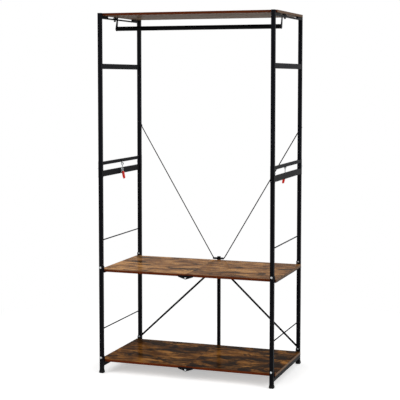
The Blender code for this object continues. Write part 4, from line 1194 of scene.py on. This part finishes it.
@dataclass
class Latch(Assembly):
    """One toggle latch: zinc base, lever and eye rod, with a red vinyl grip."""

    side: Side
    slant: float = math.radians(12.0)
    grip_start: float = 0.0115
    grip_end: float = 0.0505
    grip_width: float = 0.0164
    grip_thickness: float = 0.0104
    grip_cuts: tuple[float, ...] = (0.16, 0.24, 0.36, 0.5, 0.64, 0.78)
    mouth: float = 0.12
    bar_face: float = 0.438
    pivot_reach: float = 0.0055
    pivot_z: float = 1.006
    rod_drop: float = 0.0055
    eye_rise: float = 0.033
    eye_radius: float = 0.0061
    eye_wire: float = 0.0016
    eye_twist: float = math.radians(40.0)
    neck_top: Profile = ((0.0, 0.0), (0.0021, -0.0002), (0.0024, -0.0016), (0.0019, -0.0042))
    neck_root: Profile = ((0.0018, 0.0075), (0.0025, 0.0045), (0.0025, 0.0), (0.0, 0.0))
    barrel: Profile = ((0.0, 0.0047), (0.0026, 0.0047), (0.0029, 0.0044), (0.0029, -0.0044),
                       (0.0026, -0.0047),
                       (0.0, -0.0047))
    plate: float = 0.0015
    plate_sink: float = 0.0003
    plate_margin: float = 0.0006
    cheek_feet: tuple[Pair, Pair, Pair] = ((0.0008, 0.9905), (0.0045, 0.9925), (0.0008, 1.0118))
    cheek_radius: float = 0.0038
    pin: Profile = ((0.0, 0.0010), (0.0011, 0.0009), (0.0020, 0.0004), (0.0022, 0.0), (0.0015, 0.0),
                    (0.0015, -0.0030), (0.0, -0.0030))
    rivet: Profile = ((0.0, 0.0006), (0.0011, 0.0005), (0.0017, 0.0), (0.0017, -0.0003), (0.0, -0.0003))
    rivet_place: Pair = (0.0040, 0.9935)

    def centre(self, z: float) -> Vector:
        """A point on the latch's middle plane, over the lever's pivot."""
        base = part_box(f"latch_base_{self.side}")
        return Vector((self.side.outward * (self.bar_face - self.pivot_reach), (base[0].y + base[1].y) / 2, z))

    def grip(self) -> None:
        """Model the dipped grip: a soft flattened sleeve with a rolled mouth and a rounded end."""
        length = self.grip_end - self.grip_start
        work = cuboid((self.grip_thickness, self.grip_width, length),
                      (0, 0, -(self.grip_start + self.grip_end) / 2))
        bevel(work, work.edges[:], self.grip_thickness * 0.40, 6)
        for share in self.grip_cuts:
            cut(work, (0, 0, -(self.grip_start + length * share)), UP)
        for vert in work.verts:
            share = (-vert.co.z - self.grip_start) / length
            roll = max(0.0, 1.0 - abs(share - self.mouth) / self.mouth)
            swell = 0.93 + 0.07 * math.sin(math.pi * min(1.0, share * 1.1)) + 0.05 * roll
            vert.co.x *= swell - 0.16 * max(0.0, share - 0.65)
            vert.co.y *= swell
        turn(work, Matrix.Rotation(self.side.outward * self.slant, 4, "Y"), self.centre(self.pivot_z))
        self.deliver(f"dipped_grip_{self.side}", work, VINYL, f"lever_{self.side}",
                     [f"latch_grip_{self.side}"], 70.0)

    def eye_rod(self) -> None:
        """Model the rod: the eye, a forged neck, and a barrel on the lever's pin."""
        root = self.centre(self.pivot_z - self.rod_drop)
        middle = root + Vector((0, 0, self.eye_rise))
        quarter = math.radians(90)
        ring = bmesh.new()
        bmesh.ops.create_circle(ring, segments=14, radius=self.eye_wire)
        turn(ring, Matrix.Rotation(quarter, 4, "X"), (self.eye_radius, 0, 0))
        close_spin(ring, ring.verts[:] + ring.edges[:], 36)
        twist = Matrix.Rotation(quarter + self.side.outward * self.eye_twist, 4, "Z")
        turn(ring, twist @ Matrix.Rotation(quarter, 4, "X"), middle)
        reach = (middle - root).z - self.eye_radius
        neck = [(radius, reach + height) for radius, height in self.neck_top] + list(self.neck_root)
        parts = [ring, lathe(neck, root, UP, 24), lathe(self.barrel, root, BACKWARD, 28)]
        self.deliver(f"eye_rod_{self.side}", merge(parts), DULL_ZINC, f"bail_{self.side}",
                     [f"latch_bail_{self.side}"])

    def cheek(self, wall: float, inner: float, outer: float) -> Mesh:
        """Press one rounded cheek of the base.

        Args:
            wall: Where the base meets the bar, along X.
            inner: The cheek's inner face, along Y.
            outer: Its outer face.

        Returns:
            The cheek.
        """
        out, pivot = self.side.outward, self.centre(self.pivot_z)
        outline = [(wall - out * depth, z) for depth, z in self.cheek_feet]
        arc = [math.radians(-60 + step * 20) for step in range(9)]
        outline[2:2] = [(pivot.x - out * self.cheek_radius * math.cos(angle),
                         self.pivot_z + self.cheek_radius * math.sin(angle)) for angle in arc]
        work = bmesh.new()
        pull(work, work.faces.new([work.verts.new((x, inner, z)) for x, z in outline]), (0, outer - inner, 0))
        bmesh.ops.recalc_face_normals(work, faces=work.faces)
        bevel(work, [edge for edge in work.edges if run(edge, 1) < 0.0001], 0.0003)
        return work

    def base(self) -> None:
        """Model the pressed base: a plate on the bar, and two cheeks with a pin's end and a rivet each."""
        out, node = self.side.outward, f"latch_base_{self.side}"
        low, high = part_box(node)
        pivot = self.centre(self.pivot_z)
        wall = out * (self.bar_face - self.plate_sink)
        face = wall - out * self.plate
        half = (high.y - low.y) / 2
        x, margin = sorted((wall, face)), half + self.plate_margin
        parts = [block(Vector((x[0], pivot.y - margin, low.z - 0.0008)),
                       Vector((x[1], pivot.y + margin, high.z)), 0.0004)]
        for row in Row:
            outer, inner = (pivot.y + row.outward * (half + proud) for proud in (0.0002, -0.0013))
            parts.append(self.cheek(wall, inner, outer))
            start = Vector((pivot.x, outer, self.pivot_z))
            parts.append(lathe(self.pin, start, Vector((0, row.outward, 0)), 24))
            start = Vector((face, pivot.y + row.outward * self.rivet_place[0], self.rivet_place[1]))
            parts.append(lathe(self.rivet, start, Vector((-out, 0, 0)), 20))
        self.deliver(f"pressed_base_{self.side}", merge(parts), ZINC, f"{self.side}_frame", [node])

    def build(self) -> None:
        """Dress the lever and model the rest."""
        self.dress(f"latch_lever_{self.side}", ZINC)
        self.grip()
        self.eye_rod()
        self.base()


@dataclass(frozen=True)
class CameraPlan:
    """Where the photograph was taken from, in the row frame."""

    place: Triple = (1.898359, -5.478695, 1.469574)
    yaw: float = 19.460138
    tilt: float = 4.276030
    focal_px: float = 1155.1786
    shift_px: Pair = (-4.687217, -35.0)
    frame_px: float = 400.0
    sensor_mm: float = 36.0

    def build(self) -> None:
        """Make the camera and give it to the scene."""
        data = bpy.data.cameras.new("photo_camera")
        data.sensor_width = self.sensor_mm
        data.lens = self.focal_px / self.frame_px * self.sensor_mm
        data.shift_x = -self.shift_px[0] / self.frame_px
        data.shift_y = self.shift_px[1] / self.frame_px
        data.clip_start, data.clip_end = 0.1, 60.0
        camera = link("photo_camera", data)
        camera.location = self.place
        camera.rotation_euler = (math.radians(90.0 - self.tilt), 0.0, math.radians(self.yaw))
        bpy.context.scene.camera = camera


@dataclass(frozen=True)
class Lamp:
    """A square soft lamp."""

    name: str
    place: Triple
    size: float
    power: float

    def hang(self, aim: Vector) -> None:
        """Hang the lamp.

        Args:
            aim: The point that it faces.
        """
        data = bpy.data.lights.new(self.name, "AREA")
        data.shape, data.size, data.energy = "SQUARE", self.size, self.power
        lamp = link(self.name, data)
        lamp.location = self.place
        lamp.rotation_euler = (aim - Vector(self.place)).to_track_quat("-Z", "Y").to_euler()


@dataclass(frozen=True)
class Studio:
    """Plain pale floor, white surroundings and soft lamps."""

    sky: float = 0.62
    lamps: tuple[Lamp, ...] = (Lamp("key_lamp", (4.2, -1.6, 2.6), 2.2, 76.0),
                               Lamp("fill_lamp", (-3.0, -3.6, 2.4), 2.6, 78.0),
                               Lamp("top_lamp", (0.4, -0.6, 4.4), 2.8, 22.0))
    aim: Triple = (0.0, 0.0, 0.9)
    floor_size: float = 30.0
    floor_drop: float = 0.0005
    floor_lift: float = 0.45
    floor_tones: Pair = (0.80, 0.82)
    floor_cloud: Cloud = Cloud(3.0, 2.0)
    shadow_reach: float = 1.9

    def surroundings(self) -> None:
        """White where the camera, a reflection or glass sees it, and a plain level of light elsewhere."""
        world = bpy.data.worlds.new("studio_world")
        bench = Bench(world)
        camera, glossy, glass = (bench.node("ShaderNodeLightPath", output=f"Is {ray} Ray")
                                 for ray in ("Camera", "Glossy", "Transmission"))
        level = bench.node("ShaderNodeMapRange", inputs={
            "Value": camera + glossy + glass, "To Min": self.sky, "To Max": 1.0})
        bench.set(Color=(1.0, 1.0, 1.0), Strength=level)
        bpy.context.scene.world = world

    def floor(self) -> None:
        """A pale floor that keeps the rack's shadow and fades to the white of the surroundings."""
        material = bpy.data.materials.new("studio_floor")
        bench = Bench(material)
        black, white = (0.0, 0.0, 0.0), (1.0, 1.0, 1.0)
        at = bench.node("ShaderNodeTexCoord", output="Object")
        away = bench.node("ShaderNodeVectorMath", {"operation": "LENGTH"}, {0: at}, "Value")
        fade = away.span(self.shadow_reach * 0.4, self.shadow_reach)
        camera, glossy = (bench.node("ShaderNodeLightPath", output=f"Is {ray} Ray")
                          for ray in ("Camera", "Glossy"))
        lift = self.floor_lift + fade * (1.0 - self.floor_lift)
        near = bench.blend(self.floor_cloud.draw(bench), *(toned(white, tone) for tone in self.floor_tones))
        bench.set(Base_Color=bench.blend(fade, near, black), Roughness=0.9, Specular_IOR_Level=0.0,
                  Emission_Color=bench.blend((camera + glossy) * lift, black, white), Emission_Strength=1.0)
        work = bmesh.new()
        bmesh.ops.create_grid(work, x_segments=1, y_segments=1, size=self.floor_size / 2)
        move(work, (0, 0, -self.floor_drop))
        show("studio_floor", work, material)

    def build(self) -> None:
        """Set up the studio."""
        self.surroundings()
        self.floor()
        for lamp in self.lamps:
            lamp.hang(Vector(self.aim))
        bpy.context.scene.view_settings.view_transform = "Standard"


def main() -> None:
    """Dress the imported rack, add its small pieces, and set the studio round it."""
    logging.basicConfig(level=logging.INFO, format="%(message)s")
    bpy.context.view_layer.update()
    chance = random.Random(7)
    for assembly in (*(SideFrame(chance, side) for side in Side), *(Shelf(chance, level) for level in Level),
                     RearLinkage(chance), TopSet(chance), *(Latch(chance, side) for side in Side)):
        assembly.build()
        LOG.info("%s done, %d new pieces", type(assembly).__name__, assembly.made)
    Studio().build()
    CameraPlan().build()
    bpy.context.view_layer.update()


if __name__ == "__main__":
    main()
